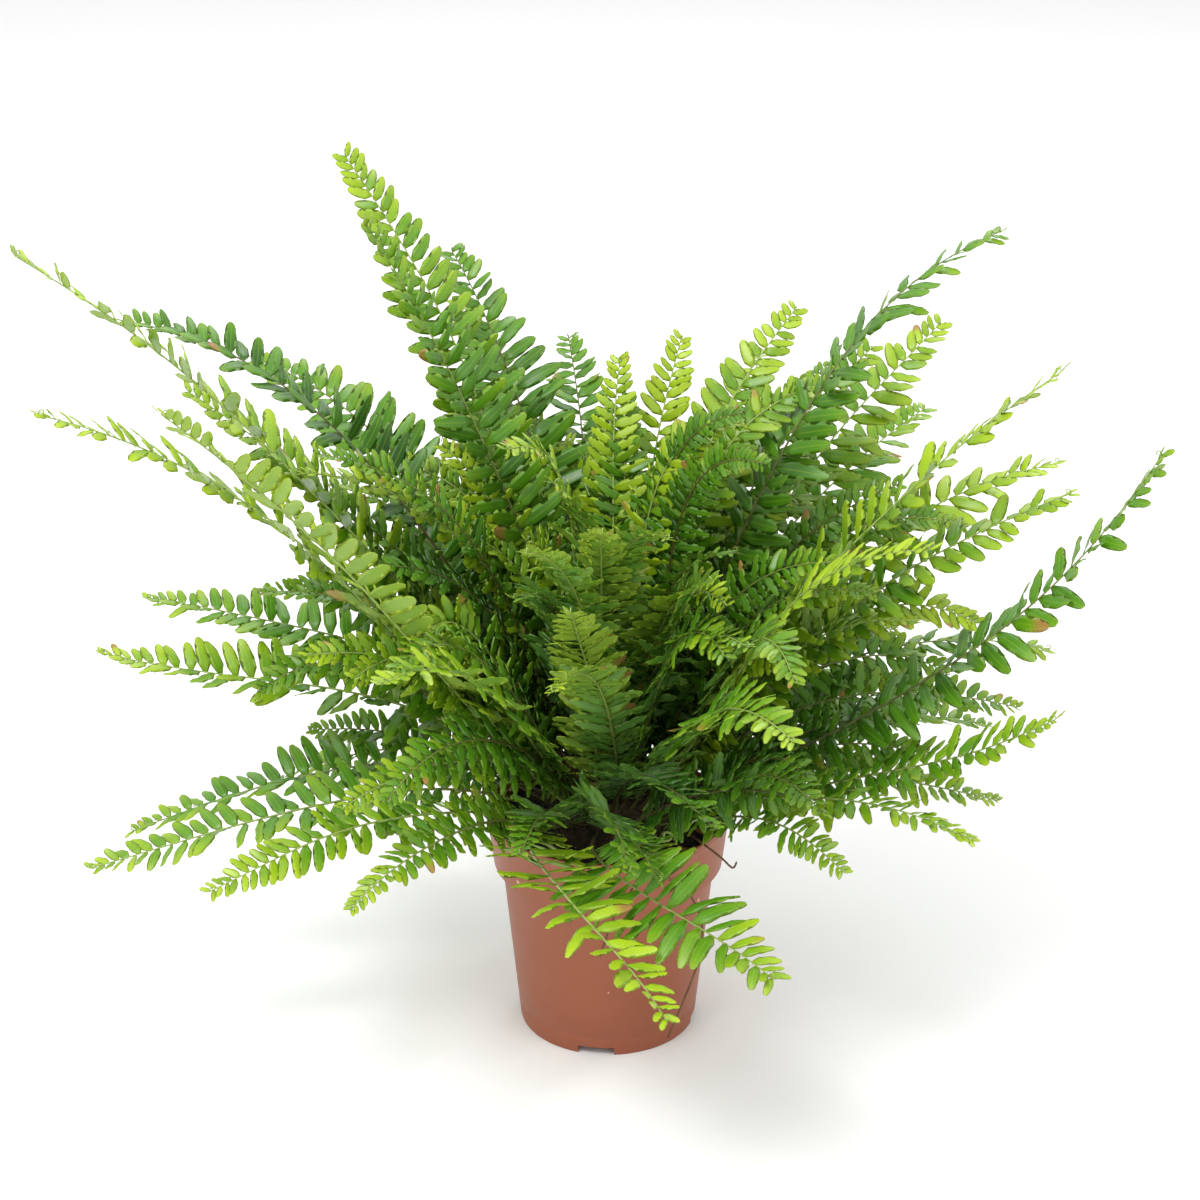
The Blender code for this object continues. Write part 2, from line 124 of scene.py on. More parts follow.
# One frond to a row: azimuth of its tip, reach, height, lean of its stalk from upright, pitch of its tip,
# turn of its stalk from the tip's azimuth, roll of its blade, and youth from 0, dark, to 1, yellow-green.
FRONDS = {
    Whorl.LOW: [
        (-83, 0.200, 0.116, 74, -34, -52, -20, 0.80),
        (-71, 0.211, 0.137, 76, -6, -30, 10, 0.45),
        (-51, 0.165, 0.148, 62, -22, 0, 0, 0.45),
        (-33, 0.195, 0.152, 60, -14, 0, -15, 0.55),
        (-24, 0.220, 0.206, 70, 36, 6, -25, 0.45),
        (-6, 0.190, 0.128, 62, -12, 6, -20, 0.50),
        (22, 0.215, 0.120, 58, -20, 0, -15, 0.40),
        (50, 0.215, 0.110, 58, -30, 0, 0, 0.35),
        (78, 0.205, 0.135, 60, -25, 0, 0, 0.40),
        (105, 0.207, 0.105, 58, -30, 0, 0, 0.35),
        (133, 0.210, 0.120, 58, -25, 0, 10, 0.40),
        (156, 0.190, 0.090, 58, -30, 0, 10, 0.35),
        (176, 0.240, 0.092, 56, -22, 0, 20, 0.40),
        (-165, 0.252, 0.116, 60, -8, 0, 25, 0.50),
        (-147, 0.214, 0.132, 62, -12, 0, 15, 0.60),
        (-129, 0.180, 0.136, 60, -25, 0, 0, 0.50),
    ],
    Whorl.MID: [
        (-66, 0.187, 0.232, 42, -10, 0, 0, 0.45),
        (-36, 0.172, 0.290, 36, 10, 0, -25, 0.90),
        (-11, 0.251, 0.317, 62, 62, -10, -35, 0.30),
        (-9, 0.214, 0.292, 40, 24, 3, -35, 0.50),
        (0, 0.200, 0.168, 48, -16, 6, -30, 0.40),
        (13, 0.228, 0.176, 44, -18, 6, -25, 0.45),
        (17, 0.235, 0.270, 36, 8, 15, -25, 0.75),
        (45, 0.240, 0.265, 36, 10, 0, -10, 0.40),
        (63, 0.185, 0.300, 30, 24, 0, 0, 0.60),
        (92, 0.200, 0.250, 38, 5, 0, 0, 0.30),
        (112, 0.212, 0.316, 32, 16, 0, 0, 0.35),
        (137, 0.255, 0.290, 36, -2, 0, 15, 0.30),
        (165, 0.240, 0.200, 44, 2, -5, 20, 0.40),
        (175, 0.250, 0.188, 46, 12, 0, 30, 0.60),
        (-174, 0.192, 0.336, 30, 36, 0, 30, 0.55),
        (-157, 0.262, 0.352, 42, 20, 0, 40, 0.75),
        (-145, 0.225, 0.362, 42, 42, 4, 30, 0.95),
        (-122, 0.180, 0.250, 40, 0, 0, 0, 0.60),
        (-97, 0.135, 0.275, 36, 30, 0, 10, 1.00),
    ],
    Whorl.UPPER: [
        (-9, 0.206, 0.350, 34, 38, 0, -30, 0.75),
        (15, 0.193, 0.392, 22, 16, -8, -30, 0.25),
        (36, 0.208, 0.326, 28, 34, 0, -15, 0.50),
        (70, 0.108, 0.326, 16, 46, 0, 0, 0.75),
        (96, 0.201, 0.296, 28, 20, 0, 0, 0.15),
        (120, 0.160, 0.360, 22, 26, 0, 10, 0.15),
        (143, 0.160, 0.418, 18, 44, 0, 15, 0.45),
        (166, 0.240, 0.345, 28, 4, 0, 25, 0.10),
        (-164, 0.262, 0.413, 36, 36, 0, 30, 0.70),
    ],
    Whorl.INNER: [
        (-62, 0.110, 0.262, 22, -10, 0, 0, 0.95),
        (31, 0.152, 0.327, 18, 30, -8, -15, 0.40),
        (47, 0.137, 0.340, 14, 32, 0, -10, 0.60),
        (85, 0.068, 0.325, 8, 60, 10, 0, 0.70),
        (166, 0.116, 0.402, 14, 56, 0, 10, 0.35),
    ],
}

RUNNERS = {
    "runner_long": [
        (0.0140, -0.0305, 0.1065),
        (0.0165, -0.0370, 0.1130),
        (0.0190, -0.0470, 0.1170),
        (0.0225, -0.0570, 0.1172),
        (0.0300, -0.0545, 0.1030),
        (0.0380, -0.0515, 0.0950),
        (0.0445, -0.0520, 0.0800),
        (0.0430, -0.0525, 0.0575),
        (0.0290, -0.0545, 0.0170),
    ],
    "runner_short": [
        (0.0080, -0.0325, 0.1065),
        (0.0110, -0.0400, 0.1130),
        (0.0150, -0.0500, 0.1170),
        (0.0160, -0.0605, 0.1165),
        (0.0120, -0.0655, 0.1070),
        (0.0030, -0.0670, 0.0920),
        (-0.0040, -0.0670, 0.0700),
    ],
    "runner_hooked": [
        (0.0300, -0.0165, 0.1065),
        (0.0350, -0.0240, 0.1125),
        (0.0400, -0.0340, 0.1165),
        (0.0450, -0.0425, 0.1170),
        (0.0535, -0.0460, 0.1115),
        (0.0590, -0.0460, 0.1060),
        (0.0610, -0.0450, 0.1085),
    ],
}
FIDDLEHEAD_STEM = [
    (0.0030, -0.0335, 0.1066),
    (0.0040, -0.0380, 0.1185),
    (0.0090, -0.0420, 0.1240),
    (0.0180, -0.0445, 0.1230),
    (0.0265, -0.0440, 0.1195),
]
LARGE_LEAFLETS = {"frond_low_01": 0.0300, "frond_low_02": 0.0320}
DEAD_LEAFLETS = {
    "dead_leaflet_1": (0.033, -0.034, 25),
    "dead_leaflet_2": (0.046, -0.016, -50),
    "dead_leaflet_3": (0.038, 0.012, 80),
}


def heading(azimuth: float, lean: float) -> Vector:
    """Unit vector at an azimuth, leaning from upright by an angle.

    Args:
        azimuth: degrees round from +X.
        lean: degrees from upright.

    Returns:
        The vector.
    """
    across = math.sin(math.radians(lean))
    turn = math.radians(azimuth)
    return Vector((across * math.cos(turn), across * math.sin(turn), math.cos(math.radians(lean))))


def smooth_route(route: list[tuple[float, float, float]], steps: int) -> list[Vector]:
    """Catmull-Rom points through a given route.

    Args:
        route: the points that the route passes through.
        steps: how many points each span gets.

    Returns:
        The points of the smooth curve, its two ends included.
    """
    knots = [Vector(route[0])] + [Vector(point) for point in route] + [Vector(route[-1])]
    points = []
    for a, b, c, d in zip(knots, knots[1:], knots[2:], knots[3:]):
        for i in range(steps):
            t = i / steps
            bend = (2 * a - 5 * b + 4 * c - d) * t**2 + (3 * b - a - 3 * c + d) * t**3
            points.append(0.5 * (2 * b + (c - a) * t + bend))
    points.append(knots[-1])
    return points


# --- node helpers ----------------------------------------------------------------------------------------


class NodeBuilder:
    """Adds and links nodes in one node tree with short calls."""

    def __init__(self, tree: bpy.types.NodeTree) -> None:
        """Keeps the tree that the nodes go into."""
        self.tree = tree
        self.column = 0

    def add(self, kind: str, inputs: dict | None = None, **settings: object) -> bpy.types.Node:
        """Adds a node.

        Args:
            kind: the node's type name.
            inputs: value or output socket for each input, by input name or index.
            settings: properties set on the node before its inputs.

        Returns:
            The new node.
        """
        node = self.tree.nodes.new(kind)
        self.column += 1
        node.location = (180.0 * (self.column % 12), -220.0 * (self.column // 12))
        for name, value in settings.items():
            setattr(node, name, value)
        for key, value in (inputs or {}).items():
            socket = self.socket(node, key)
            if isinstance(value, bpy.types.NodeSocket):
                self.tree.links.new(value, socket)
            else:
                socket.default_value = value
        return node

    @staticmethod
    def socket(node: bpy.types.Node, key: str | int) -> bpy.types.NodeSocket:
        """Finds an enabled input by its name, or by its index.

        Args:
            node: the node.
            key: the input's name or index.

        Returns:
            The input socket.
        """
        if isinstance(key, int):
            return node.inputs[key]
        return next(item for item in node.inputs if item.name == key and item.enabled)

    def out(self, node: bpy.types.Node, name: str | None = None) -> bpy.types.NodeSocket:
        """The node's first enabled output, or the one with a name."""
        return next(item for item in node.outputs if item.enabled and name in (None, item.name))

    def math(self, operation: str, *values: object) -> bpy.types.NodeSocket:
        """One math node of up to three values or sockets."""
        return self.add("ShaderNodeMath", dict(enumerate(values)), operation=operation).outputs[0]

    def vector(self, operation: str, first: object, second: object) -> bpy.types.NodeSocket:
        """One vector math node; a plain number as the second value scales the first."""
        names = {0: first, (3 if operation == "SCALE" else 1): second}
        return self.add("ShaderNodeVectorMath", names, operation=operation).outputs[0]

    def blend(self, factor: object, first: object, second: object) -> bpy.types.NodeSocket:
        """A colour mix of two colours or sockets by a factor.

        Args:
            factor: how much of the second colour shows.
            first: colour or socket at 0.
            second: colour or socket at 1.

        Returns:
            The mixed colour.
        """
        node = self.add("ShaderNodeMix", data_type="RGBA")
        for index, value in ((0, factor), (6, first), (7, second)):
            if isinstance(value, bpy.types.NodeSocket):
                self.tree.links.new(value, node.inputs[index])
            else:
                node.inputs[index].default_value = value
        return node.outputs[2]

    def ramp(self, value: object, low: float, high: float) -> bpy.types.NodeSocket:
        """A smooth step from 0 at low to 1 at high."""
        node = self.add(
            "ShaderNodeMapRange", {0: value, 1: low, 2: high}, interpolation_type="SMOOTHSTEP"
        )
        return node.outputs[0]


class GeometryTree(NodeBuilder):
    """A Geometry Nodes tree with named inputs, run once on an object and then baked to a plain mesh."""

    def __init__(self, name: str, inputs: list[tuple[str, str]]) -> None:
        """Makes the tree.

        Args:
            name: the tree's name.
            inputs: name and socket type of each input after the geometry.
        """
        super().__init__(bpy.data.node_groups.new(name, "GeometryNodeTree"))
        face = self.tree.interface
        face.new_socket("Geometry", in_out="INPUT", socket_type="NodeSocketGeometry")
        for label, kind in inputs:
            face.new_socket(label, in_out="INPUT", socket_type=kind)
        face.new_socket("Geometry", in_out="OUTPUT", socket_type="NodeSocketGeometry")
        self.entry = self.tree.nodes.new("NodeGroupInput")

    def named(self, label: str) -> bpy.types.NodeSocket:
        """The group input's socket with this label."""
        return self.entry.outputs[label]

    def attribute(self, name: str, kind: str = "FLOAT") -> bpy.types.NodeSocket:
        """Reads a named attribute."""
        node = self.add("GeometryNodeInputNamedAttribute", {"Name": name}, data_type=kind)
        return self.out(node, "Attribute")

    def store(self, geometry: object, name: str, value: object) -> bpy.types.NodeSocket:
        """Stores a number on every point under a name."""
        values = {"Geometry": geometry, "Name": name, "Value": value}
        return self.add("GeometryNodeStoreNamedAttribute", values).outputs[0]

    def random(self, low: float, high: float, offset: int) -> bpy.types.NodeSocket:
        """A random number for each point, steady for the tree's Seed input.

        Args:
            low: lowest value.
            high: highest value.
            offset: keeps this draw apart from the tree's others.

        Returns:
            The number.
        """
        seed = self.math("ADD", self.named("Seed"), float(offset))
        values = {"Min": low, "Max": high, "Seed": seed}
        return self.out(self.add("FunctionNodeRandomValue", values, data_type="FLOAT"))

    def finish(self, geometry: bpy.types.NodeSocket) -> None:
        """Ends the tree in Realize Instances and Set Material.

        Args:
            geometry: everything that the tree has made.
        """
        solid = self.add("GeometryNodeRealizeInstances", {"Geometry": geometry}).outputs[0]
        values = {"Geometry": solid, "Material": self.named("Material")}
        dressed = self.add("GeometryNodeSetMaterial", values).outputs[0]
        exit_node = self.tree.nodes.new("NodeGroupOutput")
        self.tree.links.new(dressed, exit_node.inputs[0])

    def run(self, name: str, mesh: bpy.types.Mesh, values: dict[str, object]) -> bpy.types.Object:
        """Evaluates the tree on a mesh.

        Args:
            name: the finished piece's name.
            mesh: the guide mesh that the tree starts from.
            values: a value for each named input.

        Returns:
            The piece, a plain mesh object with no modifier.
        """
        carrier = bpy.data.objects.new(name + "_guide", mesh)
        bpy.context.collection.objects.link(carrier)
        modifier = carrier.modifiers.new("build", "NODES")
        modifier.node_group = self.tree
        for item in self.tree.interface.items_tree:
            if item.in_out == "INPUT" and item.name in values:
                modifier[item.identifier] = values[item.name]
        carrier.update_tag()
        graph = bpy.context.evaluated_depsgraph_get()
        made = bpy.data.meshes.new_from_object(carrier.evaluated_get(graph), depsgraph=graph)
        bpy.data.objects.remove(carrier, do_unlink=True)
        made.name = name
        piece = bpy.data.objects.new(name, made)
        bpy.context.collection.objects.link(piece)
        for polygon in made.polygons:
            polygon.use_smooth = True
        return piece


def place(piece: bpy.types.Object, slot: str, *nodes: str) -> None:
    """Rides a piece on the root body and hides the CAD nodes it stands for.

    Args:
        piece: the finished piece.
        slot: the record's material slot; not used.
        nodes: the CAD nodes that it stands for.
    """
    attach(piece, ROOT)
    if nodes:
        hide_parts(*nodes)
    LOG.info("%s: %d faces", piece.name, len(piece.data.polygons))


def new_piece(name: str, bm: bmesh.types.BMesh, material: bpy.types.Material) -> bpy.types.Object:
    """Turns a bmesh into a smooth-shaded object.

    Args:
        name: the piece's name.
        bm: the finished bmesh, freed here.
        material: its material.

    Returns:
        The new object, at the origin.
    """
    bmesh.ops.recalc_face_normals(bm, faces=bm.faces)
    mesh = bpy.data.meshes.new(name)
    bm.to_mesh(mesh)
    bm.free()
    mesh.materials.append(material)
    for polygon in mesh.polygons:
        polygon.use_smooth = True
    piece = bpy.data.objects.new(name, mesh)
    bpy.context.collection.objects.link(piece)
    return piece


# --- finishes --------------------------------------------------------------------------------------------


class ShaderGroup(NodeBuilder):
    """A shader node group with named inputs and outputs, built once and shared by materials."""

    def __init__(self, name: str, inputs: list[tuple[str, str]], outputs: list[tuple[str, str]]) -> None:
        """Makes the empty group; each socket is a name and a socket type.

        Args:
            name: the group's name.
            inputs: its inputs.
            outputs: its outputs.
        """
        super().__init__(bpy.data.node_groups.new(name, "ShaderNodeTree"))
        for label, kind in inputs:
            self.tree.interface.new_socket(label, in_out="INPUT", socket_type=kind)
        for label, kind in outputs:
            self.tree.interface.new_socket(label, in_out="OUTPUT", socket_type=kind)
        self.entry = self.tree.nodes.new("NodeGroupInput")
        self.exit_node = self.tree.nodes.new("NodeGroupOutput")

    def named(self, label: str) -> bpy.types.NodeSocket:
        """The group input's socket with this label."""
        return self.entry.outputs[label]

    def give(self, label: str, value: bpy.types.NodeSocket) -> None:
        """Feeds one of the group's outputs."""
        self.tree.links.new(value, self.exit_node.inputs[label])

    def attribute(self, name: str) -> bpy.types.NodeSocket:
        """Reads a number stored on the mesh."""
        return self.add("ShaderNodeAttribute", attribute_name=name).outputs["Fac"]

    def object_noise(self, scale: object, detail: float) -> bpy.types.NodeSocket:
        """Noise in object space, from 0 to 1.

        Args:
            scale: how fine the noise is, a number or a socket.
            detail: octaves of detail.

        Returns:
            The noise.
        """
        spot = self.add("ShaderNodeTexCoord").outputs["Object"]
        values = {"Vector": spot, "Scale": scale, "Detail": detail}
        return self.add("ShaderNodeTexNoise", values).outputs["Fac"]


# How far each cause moves a leaflet's tone on the scale from deep green, 0, to yellow-green, above 1.
TIP_TONE = 0.42
LUCK_TONE = 0.30
CLOUD_TONE = 0.45
# Painted highlight: how much lighter each leaflet's margins are made, standing in for light catching the thin
# edges.
EDGE_HIGHLIGHT_TONE = 0.20
END_TONE = 0.14
CLOUD_SCALE = 38.0
VEIN_FAN = 0.22
VEIN_STRENGTH = 0.16
RIB_STRENGTH = 0.26
UNDERSIDE_STRENGTH = 0.50
SPECK_RADIUS = 0.16


def leaf_tone_group() -> bpy.types.NodeTree:
    """Colour of living frond tissue, with a painted highlight along the leaflets' margins, from attributes
    that the frond tree stores.

    The attributes are share, along the frond; along and across, over a leaflet; under, on its lower face;
    luck, one number for each leaflet; youth, one number for each frond; and woody, on the midrib.

    Returns:
        The group's tree.
    """
    colour = "NodeSocketColor"
    number = "NodeSocketFloat"
    group = ShaderGroup(
        "leaf_tone",
        [("Deep", colour), ("Mid", colour), ("Fresh", colour), ("Underside", colour)]
        + [("Rib Old", colour), ("Rib Young", colour), ("Dry", colour), ("Vein Count", number)],
        [("Colour", colour)],
    )
    share = group.attribute("share")
    along = group.attribute("along")
    across = group.math("ABSOLUTE", group.attribute("across"))
    luck = group.attribute("luck")
    youth = group.attribute("youth")
    cloud = group.object_noise(CLOUD_SCALE, 2.0)

    age_tip = group.math("MULTIPLY", group.math("POWER", share, 2.2), TIP_TONE)
    drift = group.math("MULTIPLY", group.math("SUBTRACT", luck, 0.5), LUCK_TONE)
    mottle = group.math("MULTIPLY", group.math("SUBTRACT", cloud, 0.5), CLOUD_TONE)
    tone = group.math("ADD", group.math("ADD", youth, age_tip), group.math("ADD", drift, mottle))
    # Painted highlight along each leaflet's margin.
    edge = group.math("MULTIPLY", group.ramp(across, 0.45, 1.0), EDGE_HIGHLIGHT_TONE)
    end = group.math("MULTIPLY", group.ramp(along, 0.35, 1.0), END_TONE)
    tone = group.math("ADD", tone, group.math("ADD", edge, end))

    lower = group.blend(group.ramp(tone, 0.05, 0.62), group.named("Deep"), group.named("Mid"))
    blade = group.blend(group.ramp(tone, 0.52, 1.25), lower, group.named("Fresh"))

    fan = group.math("ADD", along, group.math("MULTIPLY", across, VEIN_FAN))
    wave = group.math("SINE", group.math("MULTIPLY", fan, group.named("Vein Count")))
    vein = group.math("MULTIPLY", group.ramp(wave, 0.35, 1.0), VEIN_STRENGTH)
    blade = group.blend(vein, blade, group.named("Deep"))
    rib = group.math("SUBTRACT", 1.0, group.ramp(across, 0.02, 0.09))
    blade = group.blend(group.math("MULTIPLY", rib, RIB_STRENGTH), blade, group.named("Fresh"))
    under = group.math("MULTIPLY", group.attribute("under"), UNDERSIDE_STRENGTH)
    blade = group.blend(under, blade, group.named("Underside"))

    scorched = group.math("MULTIPLY", group.ramp(luck, 0.965, 0.99), group.ramp(along, 0.55, 0.85))
    blade = group.blend(scorched, blade, group.named("Dry"))
    stem_youth = group.ramp(group.math("ADD", youth, group.math("MULTIPLY", share, 0.5)), 0.35, 1.05)
    stem = group.blend(stem_youth, group.named("Rib Old"), group.named("Rib Young"))
    group.give("Colour", group.blend(group.attribute("woody"), blade, stem))
    return group.tree


def speckle_group() -> bpy.types.NodeTree:
    """Small scattered specks of another colour over a base, with soft blotches under them.

    Returns:
        The group's tree.
    """
    colour = "NodeSocketColor"
    number = "NodeSocketFloat"
    group = ShaderGroup(
        "speckle",
        [("Base", colour), ("Speck", colour), ("Blotch", colour), ("Speck Scale", number)]
        + [("Speck Amount", number), ("Blotch Scale", number), ("Blotch Amount", number)],
        [("Colour", colour)],
    )
    blotch = group.ramp(group.object_noise(group.named("Blotch Scale"), 4.0), 0.40, 0.75)
    soft = group.math("MULTIPLY", blotch, group.named("Blotch Amount"))
    ground = group.blend(soft, group.named("Base"), group.named("Blotch"))
    spot = group.add("ShaderNodeTexCoord").outputs["Object"]
    cells = group.add("ShaderNodeTexVoronoi", {"Vector": spot, "Scale": group.named("Speck Scale")})
    chosen = group.add("ShaderNodeSeparateColor", {0: cells.outputs["Color"]}).outputs[0]
    near = group.math("LESS_THAN", cells.outputs["Distance"], SPECK_RADIUS)
    picked = group.math("LESS_THAN", chosen, group.named("Speck Amount"))
    mask = group.math("MULTIPLY", near, picked)
    group.give("Colour", group.blend(mask, ground, group.named("Speck")))
    return group.tree


class Finish:
    """Base of every finish: makes a material round one Principled shader."""

    def start(self, name: str, roughness: float) -> tuple[bpy.types.Material, NodeBuilder, bpy.types.Node]:
        """Makes the material.

        Args:
            name: the material's name.
            roughness: the shader's roughness, set on its own socket.

        Returns:
            The material, a builder on its tree and its Principled shader.
        """
        material = bpy.data.materials.new(name)
        material.use_nodes = True
        shader = material.node_tree.nodes["Principled BSDF"]
        shader.inputs["Roughness"].default_value = roughness
        return material, NodeBuilder(material.node_tree), shader

    def use(
        self, nodes: NodeBuilder, group: bpy.types.NodeTree, values: dict[str, object]
    ) -> bpy.types.Node:
        """Places a shader group in a material with its own values.

        Args:
            nodes: builder on the material's tree.
            group: the shader group.
            values: a value for each named input.

        Returns:
            The group's node.
        """
        node = nodes.tree.nodes.new("ShaderNodeGroup")
        node.node_tree = group
        for label, value in values.items():
            node.inputs[label].default_value = value
        return node

    def bump(self, nodes: NodeBuilder, shader: bpy.types.Node, height: object, depth: float) -> None:
        """Feeds the shader's normal from a height.

        Args:
            nodes: builder on the material's tree.
            shader: the Principled shader.
            height: socket that the height comes from.
            depth: depth of the relief in metres.
        """
        values = {"Height": height, "Distance": depth, "Strength": 1.0}
        node = nodes.add("ShaderNodeBump", values)
        nodes.tree.links.new(node.outputs["Normal"], shader.inputs["Normal"])


@dataclass(frozen=True)
class LeafFinish(Finish):
    """Living fronds: satin, slightly see-through leaflets on wiry midribs."""

    deep: Colour = (0.012, 0.062, 0.003, 1.0)
    mid: Colour = (0.075, 0.225, 0.005, 1.0)
    fresh: Colour = (0.370, 0.530, 0.012, 1.0)
    underside: Colour = (0.095, 0.200, 0.048, 1.0)
    rib_old: Colour = (0.075, 0.060, 0.016, 1.0)
    rib_young: Colour = (0.290, 0.400, 0.090, 1.0)
    dry: Colour = (0.330, 0.170, 0.045, 1.0)
    vein_count: float = 60.0
    roughness: float = 0.40
    glow: float = 0.12
    glow_depth: float = 0.0018

    def build(self) -> bpy.types.Material:
        """Makes the material.

        Returns:
            The material.
        """
        material, nodes, shader = self.start("fern_leaf", self.roughness)
        values = {"Deep": self.deep, "Mid": self.mid, "Fresh": self.fresh, "Underside": self.underside}
        values |= {"Rib Old": self.rib_old, "Rib Young": self.rib_young, "Dry": self.dry}
        values |= {"Vein Count": self.vein_count}
        tone = self.use(nodes, leaf_tone_group(), values)
        nodes.tree.links.new(tone.outputs["Colour"], shader.inputs["Base Color"])
        shader.inputs["Subsurface Weight"].default_value = self.glow
        shader.inputs["Subsurface Radius"].default_value = (0.55, 1.0, 0.15)
        shader.inputs["Subsurface Scale"].default_value = self.glow_depth
        return material


@dataclass(frozen=True)
class PotFinish(Finish):
    """Injection-moulded terracotta plastic with a few specks of dirt."""

    base: Colour = (0.300, 0.080, 0.031, 1.0)
    blotch: Colour = (0.245, 0.062, 0.024, 1.0)
    speck: Colour = (0.620, 0.420, 0.300, 1.0)
    roughness: float = 0.46

    def build(self, speckle: bpy.types.NodeTree) -> bpy.types.Material:
        """Makes the material.

        Args:
            speckle: the speckle shader group.

        Returns:
            The material.
        """
        material, nodes, shader = self.start("terracotta_plastic", self.roughness)
        values = {"Base": self.base, "Speck": self.speck, "Blotch": self.blotch}
        values |= {"Speck Scale": 160.0, "Speck Amount": 0.012, "Blotch Scale": 9.0, "Blotch Amount": 0.55}
        tone = self.use(nodes, speckle, values)
        nodes.tree.links.new(tone.outputs["Colour"], shader.inputs["Base Color"])
        spot = nodes.add("ShaderNodeTexCoord").outputs["Object"]
        grain = nodes.add("ShaderNodeTexNoise", {"Vector": spot, "Scale": 900.0, "Detail": 2.0})
        self.bump(nodes, shader, grain.outputs["Fac"], 0.00006)
        rough = nodes.add("ShaderNodeTexNoise", {"Vector": spot, "Scale": 60.0, "Detail": 3.0})
        spread = nodes.add("ShaderNodeMapRange", {0: rough.outputs["Fac"], 3: 0.36, 4: 0.52})
        nodes.tree.links.new(spread.outputs[0], shader.inputs["Roughness"])
        return material


@dataclass(frozen=True)
class EarthyFinish(Finish):
    """Dull natural surfaces such as peat, bark, scales, runners and dead leaflets."""

    name: str
    base: Colour
    blotch: Colour
    speck: Colour
    speck_scale: float = 500.0
    speck_amount: float = 0.10
    blotch_scale: float = 120.0
    blotch_amount: float = 0.8
    roughness: float = 0.85
    bump_depth: float = 0.0004

    def build(self, speckle: bpy.types.NodeTree) -> bpy.types.Material:
        """Makes the material.

        Args:
            speckle: the speckle shader group.

        Returns:
            The material.
        """
        material, nodes, shader = self.start(self.name, self.roughness)
        values = {"Base": self.base, "Speck": self.speck, "Blotch": self.blotch}
        values |= {"Speck Scale": self.speck_scale, "Speck Amount": self.speck_amount}
        values |= {"Blotch Scale": self.blotch_scale, "Blotch Amount": self.blotch_amount}
        tone = self.use(nodes, speckle, values)
        nodes.tree.links.new(tone.outputs["Colour"], shader.inputs["Base Color"])
        spot = nodes.add("ShaderNodeTexCoord").outputs["Object"]
        grain = nodes.add("ShaderNodeTexNoise", {"Vector": spot, "Scale": 700.0, "Detail": 5.0})
        self.bump(nodes, shader, grain.outputs["Fac"], self.bump_depth)
        return material


PEAT = EarthyFinish(
    name="peat_mix",
    base=(0.018, 0.011, 0.007, 1.0),
    blotch=(0.034, 0.021, 0.012, 1.0),
    speck=(0.110, 0.070, 0.040, 1.0),
)
BARK = EarthyFinish(
    name="crown_bark",
    base=(0.035, 0.024, 0.010, 1.0),
    blotch=(0.075, 0.052, 0.020, 1.0),
    speck=(0.200, 0.150, 0.080, 1.0),
)
WIRE = EarthyFinish(
    name="runner_bark",
    base=(0.120, 0.060, 0.022, 1.0),
    blotch=(0.200, 0.110, 0.040, 1.0),
    speck=(0.320, 0.220, 0.110, 1.0),
)
YOUNG_STALK = EarthyFinish(
    name="young_stalk",
    base=(0.230, 0.330, 0.070, 1.0),
    blotch=(0.330, 0.420, 0.120, 1.0),
    speck=(0.550, 0.500, 0.300, 1.0),
)
DRY_LEAF = EarthyFinish(
    name="dead_leaf",
    base=(0.420, 0.190, 0.060, 1.0),
    blotch=(0.300, 0.120, 0.040, 1.0),
    speck=(0.550, 0.330, 0.140, 1.0),
)


# --- leaflets --------------------------------------------------------------------------------------------


